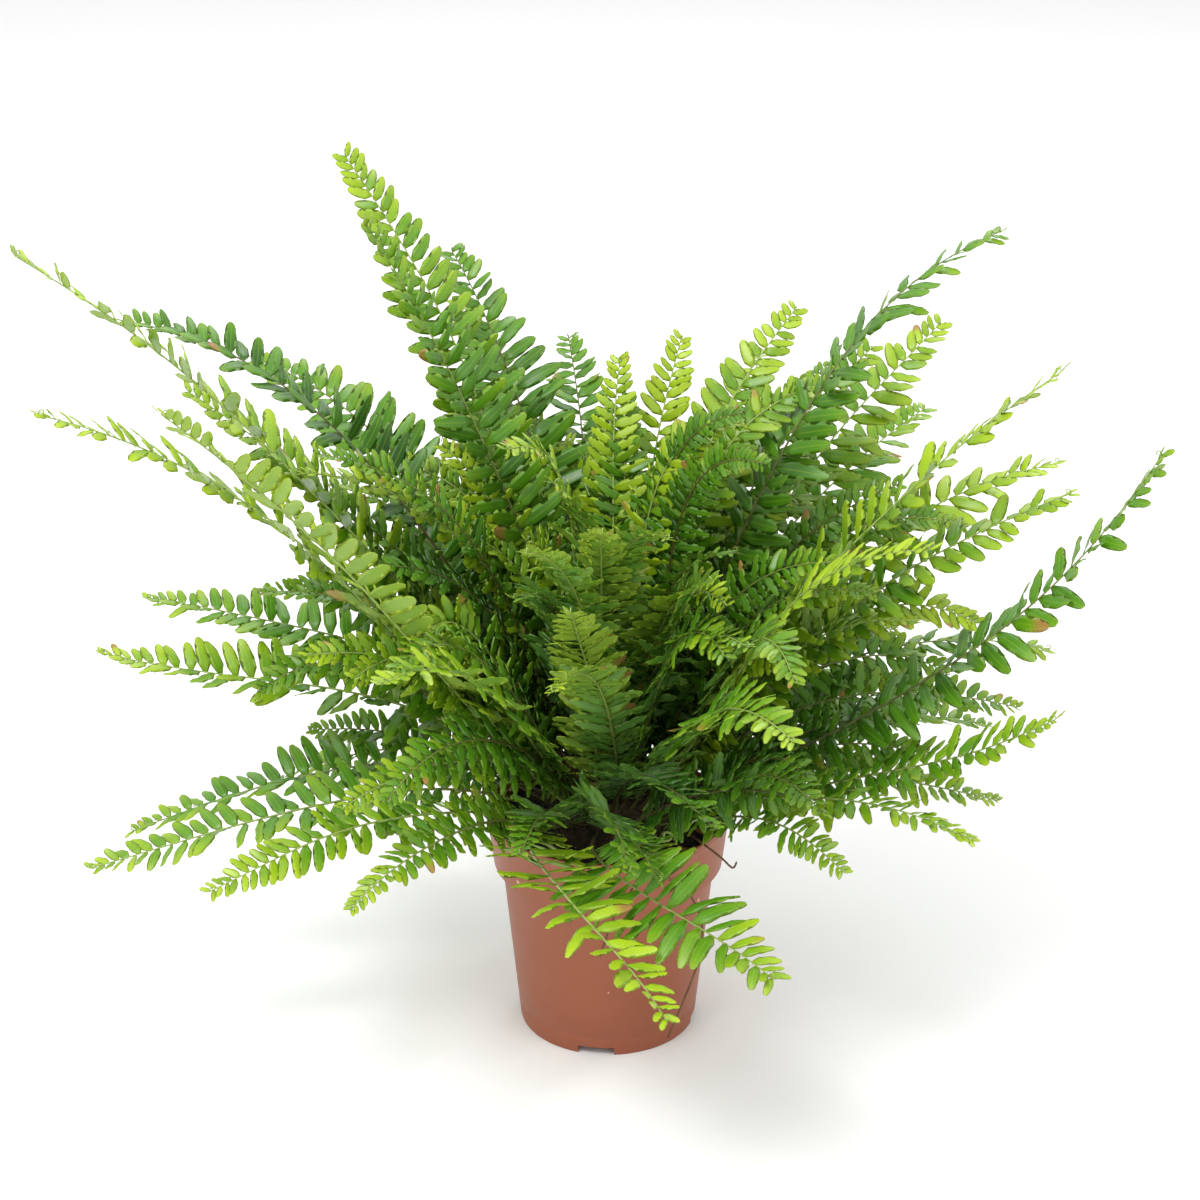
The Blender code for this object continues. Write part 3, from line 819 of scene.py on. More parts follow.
@dataclass(frozen=True)
class LeafletForm:
    """A leaflet one unit long: blunt tip, ear on the tipward side of its foot, and a crease along its rib."""

    half_width: float = 0.138
    ear: float = 0.075
    ear_at: float = 0.10
    sickle: float = 0.07
    thickness: float = 0.013
    crease: float = 0.034
    arch: float = 0.045
    stations: int = 8
    droop: float = 0.12
    wave: float = 0.012
    twist: float = 0.0

    def half(self, u: float, tipward: bool) -> float:
        """Half width at a share of the leaflet's length, on its tipward or its footward side.

        Args:
            u: share of the leaflet's length.
            tipward: whether it is the side towards the frond's tip.

        Returns:
            The half width.
        """
        rise = min(1.0, (u + 0.012) / 0.11) ** 0.55
        fall = 1.0 if u < 0.42 else max(0.0, 1.0 - ((u - 0.42) / 0.58) ** 2.5) ** 0.55
        width = self.half_width * rise * fall
        if tipward:
            return width + self.ear * math.exp(-(((u - self.ear_at) / 0.075) ** 2))
        return 0.90 * width * (0.72 + 0.28 * min(1.0, u / 0.25))

    def section(self, u: float, side: Side, phase: float) -> list[tuple[Vector, float, float]]:
        """One ring of eight points round the leaflet.

        Args:
            u: share of the leaflet's length.
            side: which side of the frond's midrib it grows on.
            phase: shifts the waves along its edge.

        Returns:
            Position, signed share across and lower-face mark for each point.
        """
        centre = self.sickle * u * u
        tip = self.half(u, True)
        foot = self.half(u, False)
        sag = -self.droop * u * u
        ripple = self.wave * math.sin(5.5 * math.pi * u + phase)
        lean = self.twist * u
        thin = 0.35 + 0.65 * (1.0 - u)
        points = []
        for across, lift, under in (
            (-1.0, -self.arch + ripple, 0.5),
            (-0.5, -0.25 * self.arch, 0.0),
            (0.0, -self.crease, 0.0),
            (0.5, -0.25 * self.arch, 0.0),
            (1.0, -self.arch - ripple, 0.5),
            (0.5, -0.25 * self.arch - self.thickness * thin, 1.0),
            (0.0, -self.crease - 1.3 * self.thickness * thin, 1.0),
            (-0.5, -0.25 * self.arch - self.thickness * thin, 1.0),
        ):
            width = tip if across > 0.0 else foot
            y = centre + across * width
            z = sag + lift * (width / self.half_width) + lean * across * width
            points.append((Vector((u, side.value * y, z)), across, under))
        return points

    def build(self, name: str, side: Side, phase: float) -> bpy.types.Object:
        """Makes the closed leaflet as an object of its own.

        Args:
            name: the object's name.
            side: which side of the midrib it grows on.
            phase: shifts the waves along its edge.

        Returns:
            The object, in no collection yet.
        """
        bm = bmesh.new()
        layers = {key: bm.verts.layers.float.new(key) for key in ("along", "across", "under")}
        rings = []
        for i in range(self.stations):
            u = math.sin(0.5 * math.pi * (i / (self.stations - 1)) ** 0.9) * 0.985
            ring = []
            for point, across, under in self.section(u, side, phase):
                vertex = bm.verts.new(point)
                vertex[layers["along"]] = u
                vertex[layers["across"]] = across
                vertex[layers["under"]] = under
                ring.append(vertex)
            rings.append(ring)
        for first, second in zip(rings, rings[1:]):
            for k in range(8):
                bm.faces.new((first[k], first[(k + 1) % 8], second[(k + 1) % 8], second[k]))
        bm.faces.new(list(reversed(rings[0])))
        bm.faces.new(rings[-1])
        bmesh.ops.recalc_face_normals(bm, faces=bm.faces)
        mesh = bpy.data.meshes.new(name)
        bm.to_mesh(mesh)
        bm.free()
        return bpy.data.objects.new(name, mesh)


class LeafletSet:
    """The leaflet templates: several bends of each side, in one collection that the frond tree picks from."""

    BENDS = (
        {"droop": 0.12, "twist": 0.15, "wave": 0.014},
        {"droop": 0.24, "twist": -0.20, "wave": 0.026},
        {"droop": 0.40, "twist": 0.30, "wave": 0.020},
        {"droop": 0.02, "twist": -0.35, "wave": 0.032},
    )

    def __init__(self) -> None:
        """Builds the templates, left ones first by name."""
        self.collection = bpy.data.collections.new("leaflets")
        for side, letter in ((Side.LEFT, "a"), (Side.RIGHT, "b")):
            for number, bend in enumerate(self.BENDS):
                form = LeafletForm(**bend)
                leaflet = form.build(f"leaflet_{letter}{number}", side, 1.7 * number)
                self.collection.objects.link(leaflet)

    def clear(self) -> None:
        """Removes the templates once every frond is made."""
        for leaflet in list(self.collection.objects):
            bpy.data.objects.remove(leaflet, do_unlink=True)
        bpy.data.collections.remove(self.collection)


def hair_template() -> bpy.types.Collection:
    """A collection with one short three-sided hair, one unit long.

    Returns:
        The collection.
    """
    bm = bmesh.new()
    bmesh.ops.create_cone(bm, cap_ends=True, segments=3, radius1=0.10, radius2=0.02, depth=1.0)
    bmesh.ops.translate(bm, vec=(0.0, 0.0, 0.5), verts=bm.verts)
    mesh = bpy.data.meshes.new("hair")
    bm.to_mesh(mesh)
    bm.free()
    holder = bpy.data.collections.new("hairs")
    holder.objects.link(bpy.data.objects.new("hair", mesh))
    return holder


# --- fronds ----------------------------------------------------------------------------------------------


@dataclass(frozen=True)
class FrondRow:
    """One frond's place and bearing; angles in degrees, lengths in metres."""

    azimuth: float
    reach: float
    height: float
    lean: float
    pitch: float
    turn: float
    roll: float
    youth: float
    foot_radius: float

    def midrib(self, crown: CrownForm, steps: int) -> list[Vector]:
        """Points along the midrib from the crown to the tip, on the same curve as the CAD solid's.

        Args:
            crown: the dome that the frond springs from.
            steps: how many spans the curve is cut into.

        Returns:
            The points.
        """
        slope = crown.slope(self.foot_radius)
        tilt = abs(math.radians(self.lean) - slope)
        lift = SEAT_GAP + 0.5 * STALK_WIDTH * math.sin(tilt)
        start = heading(self.azimuth + self.turn, 90) * self.foot_radius
        start.z = crown.height(self.foot_radius)
        start += heading(self.azimuth + self.turn, math.degrees(slope)) * lift
        end = heading(self.azimuth, 90) * self.reach
        end.z = self.height
        span = (end - start).length
        lead = start + heading(self.azimuth + self.turn, self.lean) * (LEAD_SHARE * span)
        trail = end - heading(self.azimuth - self.turn / 2, 90 - self.pitch) * (TRAIL_SHARE * span)
        points = []
        for i in range(steps + 1):
            t = i / steps
            s = 1.0 - t
            points.append(start * s**3 + lead * (3 * s * s * t) + trail * (3 * s * t * t) + end * t**3)
        return points


class StemTree(GeometryTree):
    """A closed tapering stem along a guide, with short hairs standing out from it."""

    SIDES = 7
    HAIR_LEAN = (0.7, 1.4)
    HAIR_SIZES = (0.6, 1.3)
    FULL_TURN = 6.28
    INPUTS = [
        ("Stem Radius", "NodeSocketFloat"),
        ("Taper", "NodeSocketFloat"),
        ("Hair Count", "NodeSocketInt"),
        ("Hair Length", "NodeSocketFloat"),
        ("Hairs", "NodeSocketCollection"),
        ("Seed", "NodeSocketInt"),
        ("Material", "NodeSocketMaterial"),
    ]

    def __init__(self, name: str = "stem", extra: list[tuple[str, str]] | None = None) -> None:
        """Builds the tree.

        Args:
            name: the tree's name.
            extra: inputs that a tree built on this one adds.
        """
        super().__init__(name, (extra or []) + self.INPUTS)
        curve = self.add("GeometryNodeMeshToCurve", {"Mesh": self.named("Geometry")}).outputs[0]
        joined = self.add("GeometryNodeJoinGeometry")
        for part in self.parts(curve):
            self.tree.links.new(part, joined.inputs[0])
        self.finish(joined.outputs[0])

    def parts(self, curve: object) -> list[bpy.types.NodeSocket]:
        """The geometries joined into the piece."""
        return [self.stem(curve), self.hairs(curve)]

    def stem(self, curve: object) -> bpy.types.NodeSocket:
        """The stem itself, closed at both ends.

        Args:
            curve: the guide as a curve.

        Returns:
            The closed tube.
        """
        share = self.attribute("share")
        taper = self.math("SUBTRACT", 1.0, self.math("MULTIPLY", share, self.named("Taper")))
        scale = self.math("MULTIPLY", taper, self.named("Stem Radius"))
        circle = self.add("GeometryNodeCurvePrimitiveCircle", {"Resolution": self.SIDES}).outputs[0]
        values = {"Curve": curve, "Profile Curve": circle, "Scale": scale, "Fill Caps": True}
        tube = self.add("GeometryNodeCurveToMesh", values).outputs[0]
        return self.store(tube, "woody", 1.0)

    def hairs(self, curve: object) -> bpy.types.NodeSocket:
        """Short pale hairs that stand out from the stem.

        Args:
            curve: the guide as a curve.

        Returns:
            The hairs.
        """
        values = {"Curve": curve, "Count": self.named("Hair Count")}
        row = self.add("GeometryNodeCurveToPoints", values, mode="COUNT")
        points = self.store(row.outputs["Points"], "woody", 1.0)
        lean, around = self.random(*self.HAIR_LEAN, 7), self.random(0.0, self.FULL_TURN, 8)
        spin = self.add("ShaderNodeCombineXYZ", {0: lean, 2: around})
        local = self.add("FunctionNodeEulerToRotation", {0: spin.outputs[0]}).outputs[0]
        values = {"Rotation": row.outputs["Rotation"], "Rotate By": local}
        turn = self.add("FunctionNodeRotateRotation", values, rotation_space="LOCAL").outputs[0]
        size = self.math("MULTIPLY", self.named("Hair Length"), self.random(*self.HAIR_SIZES, 9))
        scale = self.vector("SCALE", (1.0, 1.0, 1.0), size)
        source = {"Collection": self.named("Hairs"), "Separate Children": True, "Reset Children": True}
        shape = self.add("GeometryNodeCollectionInfo", source).outputs[0]
        values = {"Points": points, "Instance": shape, "Rotation": turn, "Scale": scale}
        return self.add("GeometryNodeInstanceOnPoints", values).outputs[0]


class FrondTree(StemTree):
    """Leaflets in two ranks along a tapering midrib; one guide may carry several fronds.

    Angles are in radians. Each spread is how far a leaflet strays either way from its frond's own angle.
    """

    TIP_CLOSING = 0.50
    CLOSING_POWER = 2.4
    SWEEP_SPREAD = 0.16
    FOLD_SPREAD = 0.26
    CURL_SPREAD = 0.38
    SIZES = (0.90, 1.08)
    SMALLEST = 0.0001

    def __init__(self) -> None:
        """Builds the tree."""
        number = "NodeSocketFloat"
        extra = [("Fold", number), ("Sweep", number), ("Curl", number), ("Leaflets", "NodeSocketCollection")]
        super().__init__("frond", extra)

    def parts(self, curve: object) -> list[bpy.types.NodeSocket]:
        """The geometries joined into the frond."""
        return [self.stem(curve), self.hairs(curve), self.leaflets(curve)]

    def strayed(self, label: str, spread: float, offset: int) -> bpy.types.NodeSocket:
        """A named angle, strayed from by up to the spread, at random for each leaflet."""
        return self.math("ADD", self.named(label), self.random(-spread, spread, offset))

    def leaflets(self, curve: object) -> bpy.types.NodeSocket:
        """Leaflets turned out to both sides, folded up, swept to the tip and a little uneven.

        Args:
            curve: the guide as a curve.

        Returns:
            The leaflets.
        """
        row = self.add("GeometryNodeCurveToPoints", {"Curve": curve}, mode="EVALUATED")
        points = self.store(row.outputs["Points"], "luck", self.random(0.0, 1.0, 1))
        share = self.attribute("share")
        right = self.attribute("rank")
        sign = self.math("SUBTRACT", self.math("MULTIPLY", right, 2.0), 1.0)
        outward = self.vector("SCALE", self.attribute("side", "FLOAT_VECTOR"), sign)
        axes = {"Primary Axis": self.attribute("up", "FLOAT_VECTOR"), "Secondary Axis": outward}
        frame_turn = self.add("FunctionNodeAxesToRotation", axes, primary_axis="Z", secondary_axis="X")

        mirror = self.math("MULTIPLY", sign, -1.0)
        closing = self.math("MULTIPLY", self.math("POWER", share, self.CLOSING_POWER), self.TIP_CLOSING)
        sweep = self.math("ADD", self.strayed("Sweep", self.SWEEP_SPREAD, 2), closing)
        yaw = self.math("MULTIPLY", sweep, mirror)
        pitch = self.math("MULTIPLY", self.strayed("Fold", self.FOLD_SPREAD, 3), -1.0)
        roll = self.math("MULTIPLY", self.strayed("Curl", self.CURL_SPREAD, 4), mirror)
        angles = self.add("ShaderNodeCombineXYZ", {0: roll, 1: pitch, 2: yaw}).outputs[0]
        local = self.add("FunctionNodeEulerToRotation", {0: angles}).outputs[0]
        values = {"Rotation": frame_turn.outputs[0], "Rotate By": local}
        turn = self.add("FunctionNodeRotateRotation", values, rotation_space="LOCAL").outputs[0]

        uneven = self.random(*self.SIZES, 5)
        length = self.math("MULTIPLY", self.attribute("size"), uneven)
        width = self.math("MULTIPLY", self.attribute("girth"), uneven)
        scale = self.add("ShaderNodeCombineXYZ", {0: length, 1: width, 2: length}).outputs[0]

        bends = float(len(LeafletSet.BENDS))
        pick = self.math("FLOOR", self.random(0.0, bends - 0.001, 6))
        pick = self.math("ADD", pick, self.math("MULTIPLY", right, bends))
        source = {"Collection": self.named("Leaflets"), "Separate Children": True, "Reset Children": True}
        shapes = self.add("GeometryNodeCollectionInfo", source).outputs[0]
        bears = self.math("GREATER_THAN", self.attribute("size"), self.SMALLEST)
        values = {"Points": points, "Instance": shapes, "Pick Instance": True, "Instance Index": pick}
        values |= {"Rotation": turn, "Scale": scale, "Selection": bears}
        return self.add("GeometryNodeInstanceOnPoints", values).outputs[0]


class Guide:
    """A mesh of edge chains, with the attributes that the stem and frond trees read.

    Shares are of a midrib's length unless they say otherwise.
    """

    STEPS = 44
    STALK_POINTS = 8
    STALK_SHARES = (0.10, 0.16)
    LAST_LEAFLET = 0.992
    LEAFLET_SHARE = 0.114
    LEAFLET_LENGTHS = (0.0180, 0.0310)
    LEAFLET_PITCH = 0.300
    TIP_LENGTH = 0.22
    TIP_BREADTH = 0.75
    WANDER = 0.024
    FACING_ROLL = 38.0
    TWIST = 0.30
    CROZIER_RADIUS = 0.0016
    CROZIER_POINTS = 8
    CROZIER_STEP = 0.62
    CROZIER_CLOSING = 0.075
    BARE = (0.0, 0.0, 0.0)

    def __init__(self, name: str) -> None:
        """Starts an empty guide.

        Args:
            name: name of the mesh.
        """
        self.name = name
        self.bm = bmesh.new()
        layers = self.bm.verts.layers
        self.numbers = {key: layers.float.new(key) for key in ("share", "youth", "size", "girth", "rank")}
        self.axes = {key: layers.float_vector.new(key) for key in ("side", "up")}

    def chain(self, points: list[Vector], frames: list[tuple], youth: float, marks: list[tuple]) -> None:
        """Adds one chain.

        Args:
            points: its points, from foot to tip.
            frames: side and up vectors for each point.
            youth: the frond's youth.
            marks: length, breadth and rank of the leaflet at each point; a length of 0 bears none.
        """
        total = sum((b - a).length for a, b in zip(points, points[1:]))
        walked = 0.0
        previous = None
        for i, point in enumerate(points):
            if i:
                walked += (point - points[i - 1]).length
            vertex = self.bm.verts.new(point)
            vertex[self.numbers["share"]] = walked / total
            vertex[self.numbers["youth"]] = youth
            for key, value in zip(("size", "girth", "rank"), marks[i]):
                vertex[self.numbers[key]] = value
            vertex[self.axes["side"]], vertex[self.axes["up"]] = frames[i]
            if previous is not None:
                self.bm.edges.new((previous, vertex))
            previous = vertex

    @staticmethod
    def leaflet_size(blade: float) -> tuple[float, float]:
        """Size of the leaflets at a share of the blade.

        Args:
            blade: share of the blade, from its foot to its tip.

        Returns:
            Length and breadth, as shares of the longest leaflet's.
        """
        rise = min(1.0, (blade + 0.30) / 0.62)
        rise = rise * rise * (3.0 - 2.0 * rise)
        length = rise * (Guide.TIP_LENGTH + (1.0 - Guide.TIP_LENGTH) * (1.0 - blade**2.6))
        return length, length * (1.0 + Guide.TIP_BREADTH * blade**2.4)

    def frond(self, row: FrondRow, crown: CrownForm, luck: random.Random, leaflet: float) -> None:
        """Adds a frond's midrib, with a point for each leaflet, slight wander and a coiled tip.

        Args:
            row: where the frond goes.
            crown: the dome it springs from.
            luck: source of its unevenness.
            leaflet: length of its longest leaflets; 0 takes it from the frond's own length.
        """
        route = row.midrib(crown, self.STEPS)
        length = sum((b - a).length for a, b in zip(route, route[1:]))
        shortest, longest = self.LEAFLET_LENGTHS
        leaflet = leaflet or min(longest, max(shortest, self.LEAFLET_SHARE * length))
        stalk = luck.uniform(*self.STALK_SHARES)
        shares = [stalk * i / self.STALK_POINTS for i in range(self.STALK_POINTS)]
        marks = [self.BARE] * self.STALK_POINTS
        share, rank = stalk, 0
        while share < self.LAST_LEAFLET:
            size, girth = self.leaflet_size((share - stalk) / (1.0 - stalk))
            shares.append(share)
            marks.append((size * leaflet, girth * leaflet, float(rank)))
            share += 0.5 * self.LEAFLET_PITCH * girth * leaflet / length
            rank = 1 - rank
        phase, wander = luck.uniform(0.0, 6.28), luck.uniform(0.3, 1.0) * self.WANDER * length
        turned = row.roll + self.FACING_ROLL * math.cos(math.radians(row.azimuth))
        points, frames = [], []
        for share in shares:
            spot = min(share, 0.9999) * self.STEPS
            i = int(spot)
            point = route[i].lerp(route[i + 1], spot - i)
            tangent = (route[min(i + 2, self.STEPS)] - route[max(i - 1, 0)]).normalized()
            side = heading(row.azimuth + row.turn * (1.0 - share) + 90, 90)
            side = (side - tangent * side.dot(tangent)).normalized()
            up = tangent.cross(side)
            roll = math.radians(turned) * min(1.0, share / BLADE_START)
            roll += self.TWIST * math.sin(5.0 * share + phase) * share
            across = side * math.cos(roll) + up * math.sin(roll)
            frames.append((across, up * math.cos(roll) - side * math.sin(roll)))
            swing = wander * math.sin(2.2 * math.pi * share + phase) * share * (1.0 - share) * 2.0
            points.append(point + across * swing)
        self.coil(points, frames)
        marks += [self.BARE] * (len(points) - len(marks))
        self.chain(points, frames, row.youth, marks)

    def coil(self, points: list[Vector], frames: list[tuple]) -> None:
        """Winds the last few millimetres of a midrib up into a small crozier.

        Args:
            points: the midrib's points, which the crozier's are added to.
            frames: side and up vectors for each point, added to as well.
        """
        side, up = frames[-1]
        ahead = (points[-1] - points[-2]).normalized()
        centre = points[-1] + up * self.CROZIER_RADIUS
        for i in range(1, self.CROZIER_POINTS + 1):
            angle = self.CROZIER_STEP * i
            reach = self.CROZIER_RADIUS * (1.0 - self.CROZIER_CLOSING * i)
            points.append(centre + (ahead * math.sin(angle) - up * math.cos(angle)) * reach)
            tangent = ahead * math.cos(angle) + up * math.sin(angle)
            frames.append((side, tangent.cross(side).normalized()))

    def mesh(self) -> bpy.types.Mesh:
        """Hands over the finished guide mesh.

        Returns:
            The mesh.
        """
        mesh = bpy.data.meshes.new(self.name)
        self.bm.to_mesh(mesh)
        self.bm.free()
        return mesh


@dataclass(frozen=True)
class Habit:
    """Ranges that a lesser frond is drawn from, and the radius of the ring that it springs from."""

    reach: tuple[float, float]
    height: tuple[float, float]
    lean: tuple[float, float]
    pitch: tuple[float, float]
    foot_radius: float


class Filling(Enum):
    """The three habits of the lesser fronds, from the outermost to the innermost."""

    SKIRT = Habit((0.11, 0.18), (0.125, 0.175), (55, 68), (-35, -5), 0.025)
    MIDDLE = Habit((0.10, 0.180), (0.17, 0.26), (30, 48), (-50, 5), 0.019)
    UPRIGHT = Habit((0.06, 0.15), (0.25, 0.325), (14, 30), (-15, 40), 0.010)


@dataclass(frozen=True)
class Foliage:
    """Every frond: a piece for each CAD frond, and sectors of lesser fronds that fill the plant's middle."""

    ODDS = [Filling.SKIRT, Filling.MIDDLE, Filling.MIDDLE, Filling.UPRIGHT, Filling.UPRIGHT]
    YOUTHS = [0.10, 0.25, 0.35, 0.50, 0.70]
    HAIRY_YOUTH = 0.7
    FIRST_SECTOR = -112.5

    crown: CrownForm
    leaflets: LeafletSet
    hairs: bpy.types.Collection
    material: bpy.types.Material
    midrib_radius: float = 0.00085
    midrib_taper: float = 0.70
    folds: tuple[float, float] = (0.06, 0.46)
    sweeps: tuple[float, float] = (0.10, 0.24)
    curls: tuple[float, float] = (-0.12, 0.22)
    fill_count: int = 11
    fill_leaflets: tuple[float, float] = (0.018, 0.025)
    sectors: int = 8

    def values(self, youth: float, seed: int) -> dict[str, object]:
        """The tree's inputs for fronds of one youth.

        Args:
            youth: youth of the fronds.
            seed: seed of their unevenness.

        Returns:
            A value for each named input.
        """
        luck = random.Random(1000 + seed)
        hairy = youth > self.HAIRY_YOUTH
        return {
            "Stem Radius": self.midrib_radius,
            "Taper": self.midrib_taper,
            "Fold": luck.uniform(*self.folds),
            "Sweep": luck.uniform(*self.sweeps),
            "Curl": luck.uniform(*self.curls),
            "Hair Count": 90 if hairy else 36,
            "Hair Length": 0.0013 if hairy else 0.0008,
            "Leaflets": self.leaflets.collection,
            "Hairs": self.hairs,
            "Seed": seed * 20,
            "Material": self.material,
        }

    def named_fronds(self, tree: FrondTree) -> None:
        """Builds the fronds that the CAD solids stand for.

        Args:
            tree: the frond tree.
        """
        seed = 0
        for whorl, rows in FRONDS.items():
            for number, row in enumerate(rows, 1):
                seed += 1
                node = f"frond_{whorl.value}_{number:02d}"
                guide = Guide(node + "_guide_mesh")
                form = FrondRow(*row, foot_radius=WHORL_RADIUS[whorl])
                guide.frond(form, self.crown, random.Random(seed), LARGE_LEAFLETS.get(node, 0.0))
                piece = tree.run(node + "_leaves", guide.mesh(), self.values(form.youth, seed))
                place(piece, "frond_leaf", node)

    def fill_row(self, luck: random.Random, azimuth: float) -> FrondRow:
        """One lesser frond in a sector, kept inside the outline of the named ones.

        Args:
            luck: source of its numbers.
            azimuth: bearing of its tip.

        Returns:
            The frond's row.
        """
        habit = luck.choice(self.ODDS).value
        drawn = [luck.uniform(*limits) for limits in (habit.reach, habit.height, habit.lean, habit.pitch)]
        youth = luck.choice(self.YOUTHS)
        turn, roll = luck.uniform(-25, 25), luck.uniform(-35, 35)
        return FrondRow(azimuth, *drawn, turn, roll, youth, habit.foot_radius)

    def fill_fronds(self, tree: FrondTree) -> None:
        """Builds the lesser fronds, a sector to a piece.

        Args:
            tree: the frond tree.
        """
        for sector in range(self.sectors):
            luck = random.Random(500 + sector)
            guide = Guide(f"fill_guide_{sector}")
            width = 360.0 / self.sectors
            for number in range(self.fill_count):
                share = (number + luck.uniform(0.1, 0.9)) / self.fill_count
                row = self.fill_row(luck, self.FIRST_SECTOR + width * (sector + share))
                guide.frond(row, self.crown, luck, luck.uniform(*self.fill_leaflets))
            piece = tree.run(f"fill_fronds_{sector + 1}", guide.mesh(), self.values(0.5, 80 + sector))
            place(piece, "frond_leaf")

    def build(self) -> None:
        """Builds every frond."""
        tree = FrondTree()
        self.named_fronds(tree)
        self.fill_fronds(tree)


# --- pot -------------------------------------------------------------------------------------------------


@dataclass(frozen=True)
class Pot:
    """Thin moulded pot with an upright collar, a plain tapering body and drainage slots at its foot."""

    material: bpy.types.Material
    rim: float = 0.0600
    height: float = 0.1150
    lip: float = 0.0007
    collar_foot: float = 0.0565
    collar_side: Outline = ((0.0577, 0.0980), (0.0589, 0.1080), (0.0595, 0.1112), (0.0600, 0.1119))
    collar_inside: tuple[float, float] = (0.0573, 0.1050)
    shoulder: float = 0.0525
    shoulder_height: float = 0.0870
    base: float = 0.0440
    edge: float = 0.0008
    wall: float = 0.0014
    floor_lift: float = 0.0050
    floor_top: float = 0.0064
    foot_inner: float = 0.0414
    line_height: float = 0.0094
    line_step: float = 0.0003
    line_depth: float = 0.00012
    notches: tuple[int, ...] = (-98, -8, 82, 172)
    notch_radius: float = 0.0430
    notch_depth: float = 0.010
    notch_width: float = 0.018
    notch_height: float = 0.0044
    drain_ring: float = 0.026
    drain_radius: float = 0.0035
    drain_count: int = 8
    segments: int = 160

    def body(self, z: float) -> float:
        """Outer radius of the body at a height."""
        return self.base + (self.shoulder - self.base) * z / self.shoulder_height

    @staticmethod
    def arc(centre: tuple[float, float], radius: float, start: float, end: float, steps: int) -> Outline:
        """Points of an arc in the pot's section, by degrees from outward.

        Args:
            centre: its centre, as radius and height.
            radius: its radius.
            start: angle of its first point.
            end: angle of its last point.
            steps: how many spans it has.

        Returns:
            The points.
        """
        points = []
        for i in range(steps + 1):
            angle = math.radians(start + (end - start) * i / steps)
            points.append((centre[0] + radius * math.cos(angle), centre[1] + radius * math.sin(angle)))
        return points

    def outline(self) -> Outline:
        """The closed section, from the axis under the floor round the outside to the axis over it.

        Returns:
            The section's points, as radius and height.
        """
        points = [(self.foot_inner, self.floor_lift), (self.foot_inner, 0.0)]
        points += self.arc((self.base - self.edge, self.edge), self.edge, -90, 0, 4)
        for i, depth in enumerate((0.0, self.line_depth, self.line_depth, 0.0)):
            z = self.line_height + i * self.line_step
            points.append((self.body(z) - depth, z))
        points += [(self.body(z), z) for z in (0.03, 0.055, 0.083)]
        under = self.shoulder_height - self.edge
        points += self.arc((self.body(under) + self.edge, under), self.edge, 180, 90, 3)
        above = self.shoulder_height + self.edge
        points += self.arc((self.collar_foot - self.edge, above), self.edge, -90, 0, 4)
        points += self.collar_side
        points += self.arc((self.rim - self.lip, self.height - self.lip), self.lip, 0, 180, 8)
        inside = self.shoulder_height + self.wall
        points += [self.collar_inside, (self.collar_foot - self.wall, inside)]
        points += [(self.body(inside) - self.wall, above)]
        points += [(self.body(z) - self.wall, z) for z in (0.06, 0.03, self.floor_top)]
        return points

    def revolve(self) -> bmesh.types.BMesh:
        """Turns the section round the axis.

        Returns:
            The closed pot, before it is cut.
        """
        bm = bmesh.new()
        rings = []
        for radius, z in self.outline():
            ring = []
            for k in range(self.segments):
                angle = 2.0 * math.pi * k / self.segments
                ring.append(bm.verts.new((radius * math.cos(angle), radius * math.sin(angle), z)))
            rings.append(ring)
        for first, second in zip(rings, rings[1:]):
            for k in range(self.segments):
                j = (k + 1) % self.segments
                bm.faces.new((first[k], first[j], second[j], second[k]))
        for ring, z in ((rings[0], self.floor_lift), (rings[-1], self.floor_top)):
            centre = bm.verts.new((0.0, 0.0, z))
            for k in range(self.segments):
                bm.faces.new((ring[k], ring[(k + 1) % self.segments], centre))
        return bm

    def cutters(self) -> bmesh.types.BMesh:
        """Everything cut away: the slots through the foot ring and the drain holes.

        Returns:
            The cutters.
        """
        bm = bmesh.new()
        for azimuth in self.notches:
            made = bmesh.ops.create_cube(bm, size=1.0)["verts"]
            size = (self.notch_depth, self.notch_width, 2.0 * self.notch_height)
            bmesh.ops.scale(bm, vec=size, verts=made)
            bmesh.ops.translate(bm, vec=(self.notch_radius, 0.0, 0.0), verts=made)
            spin = Matrix.Rotation(math.radians(azimuth), 4, "Z")
            bmesh.ops.transform(bm, matrix=spin, verts=made)
        spots = [Vector((0.0, 0.0, 0.0))]
        for k in range(self.drain_count):
            spots.append(heading(360.0 * k / self.drain_count, 90) * self.drain_ring)
        middle = 0.5 * (self.floor_lift + self.floor_top)
        sizes = {"radius1": self.drain_radius, "radius2": self.drain_radius, "depth": 0.006}
        for spot in spots:
            made = bmesh.ops.create_cone(bm, cap_ends=True, segments=24, **sizes)["verts"]
            bmesh.ops.translate(bm, vec=(spot.x, spot.y, middle), verts=made)
        return bm

    def build(self) -> None:
        """Builds the pot, cuts it and places it."""
        blank = new_piece("pot_blank", self.revolve(), self.material)
        cutter = new_piece("pot_cutter", self.cutters(), self.material)
        change = blank.modifiers.new("cut", "BOOLEAN")
        change.object = cutter
        change.solver = "EXACT"
        graph = bpy.context.evaluated_depsgraph_get()
        mesh = bpy.data.meshes.new_from_object(blank.evaluated_get(graph), depsgraph=graph)
        mesh.name = "pot_shell"
        bpy.data.objects.remove(blank, do_unlink=True)
        bpy.data.objects.remove(cutter, do_unlink=True)
        mesh.set_sharp_from_angle(angle=math.radians(32))
        piece = bpy.data.objects.new("pot_shell", mesh)
        bpy.context.collection.objects.link(piece)
        place(piece, "pot_plastic", "pot")


# --- soil and crown --------------------------------------------------------------------------------------


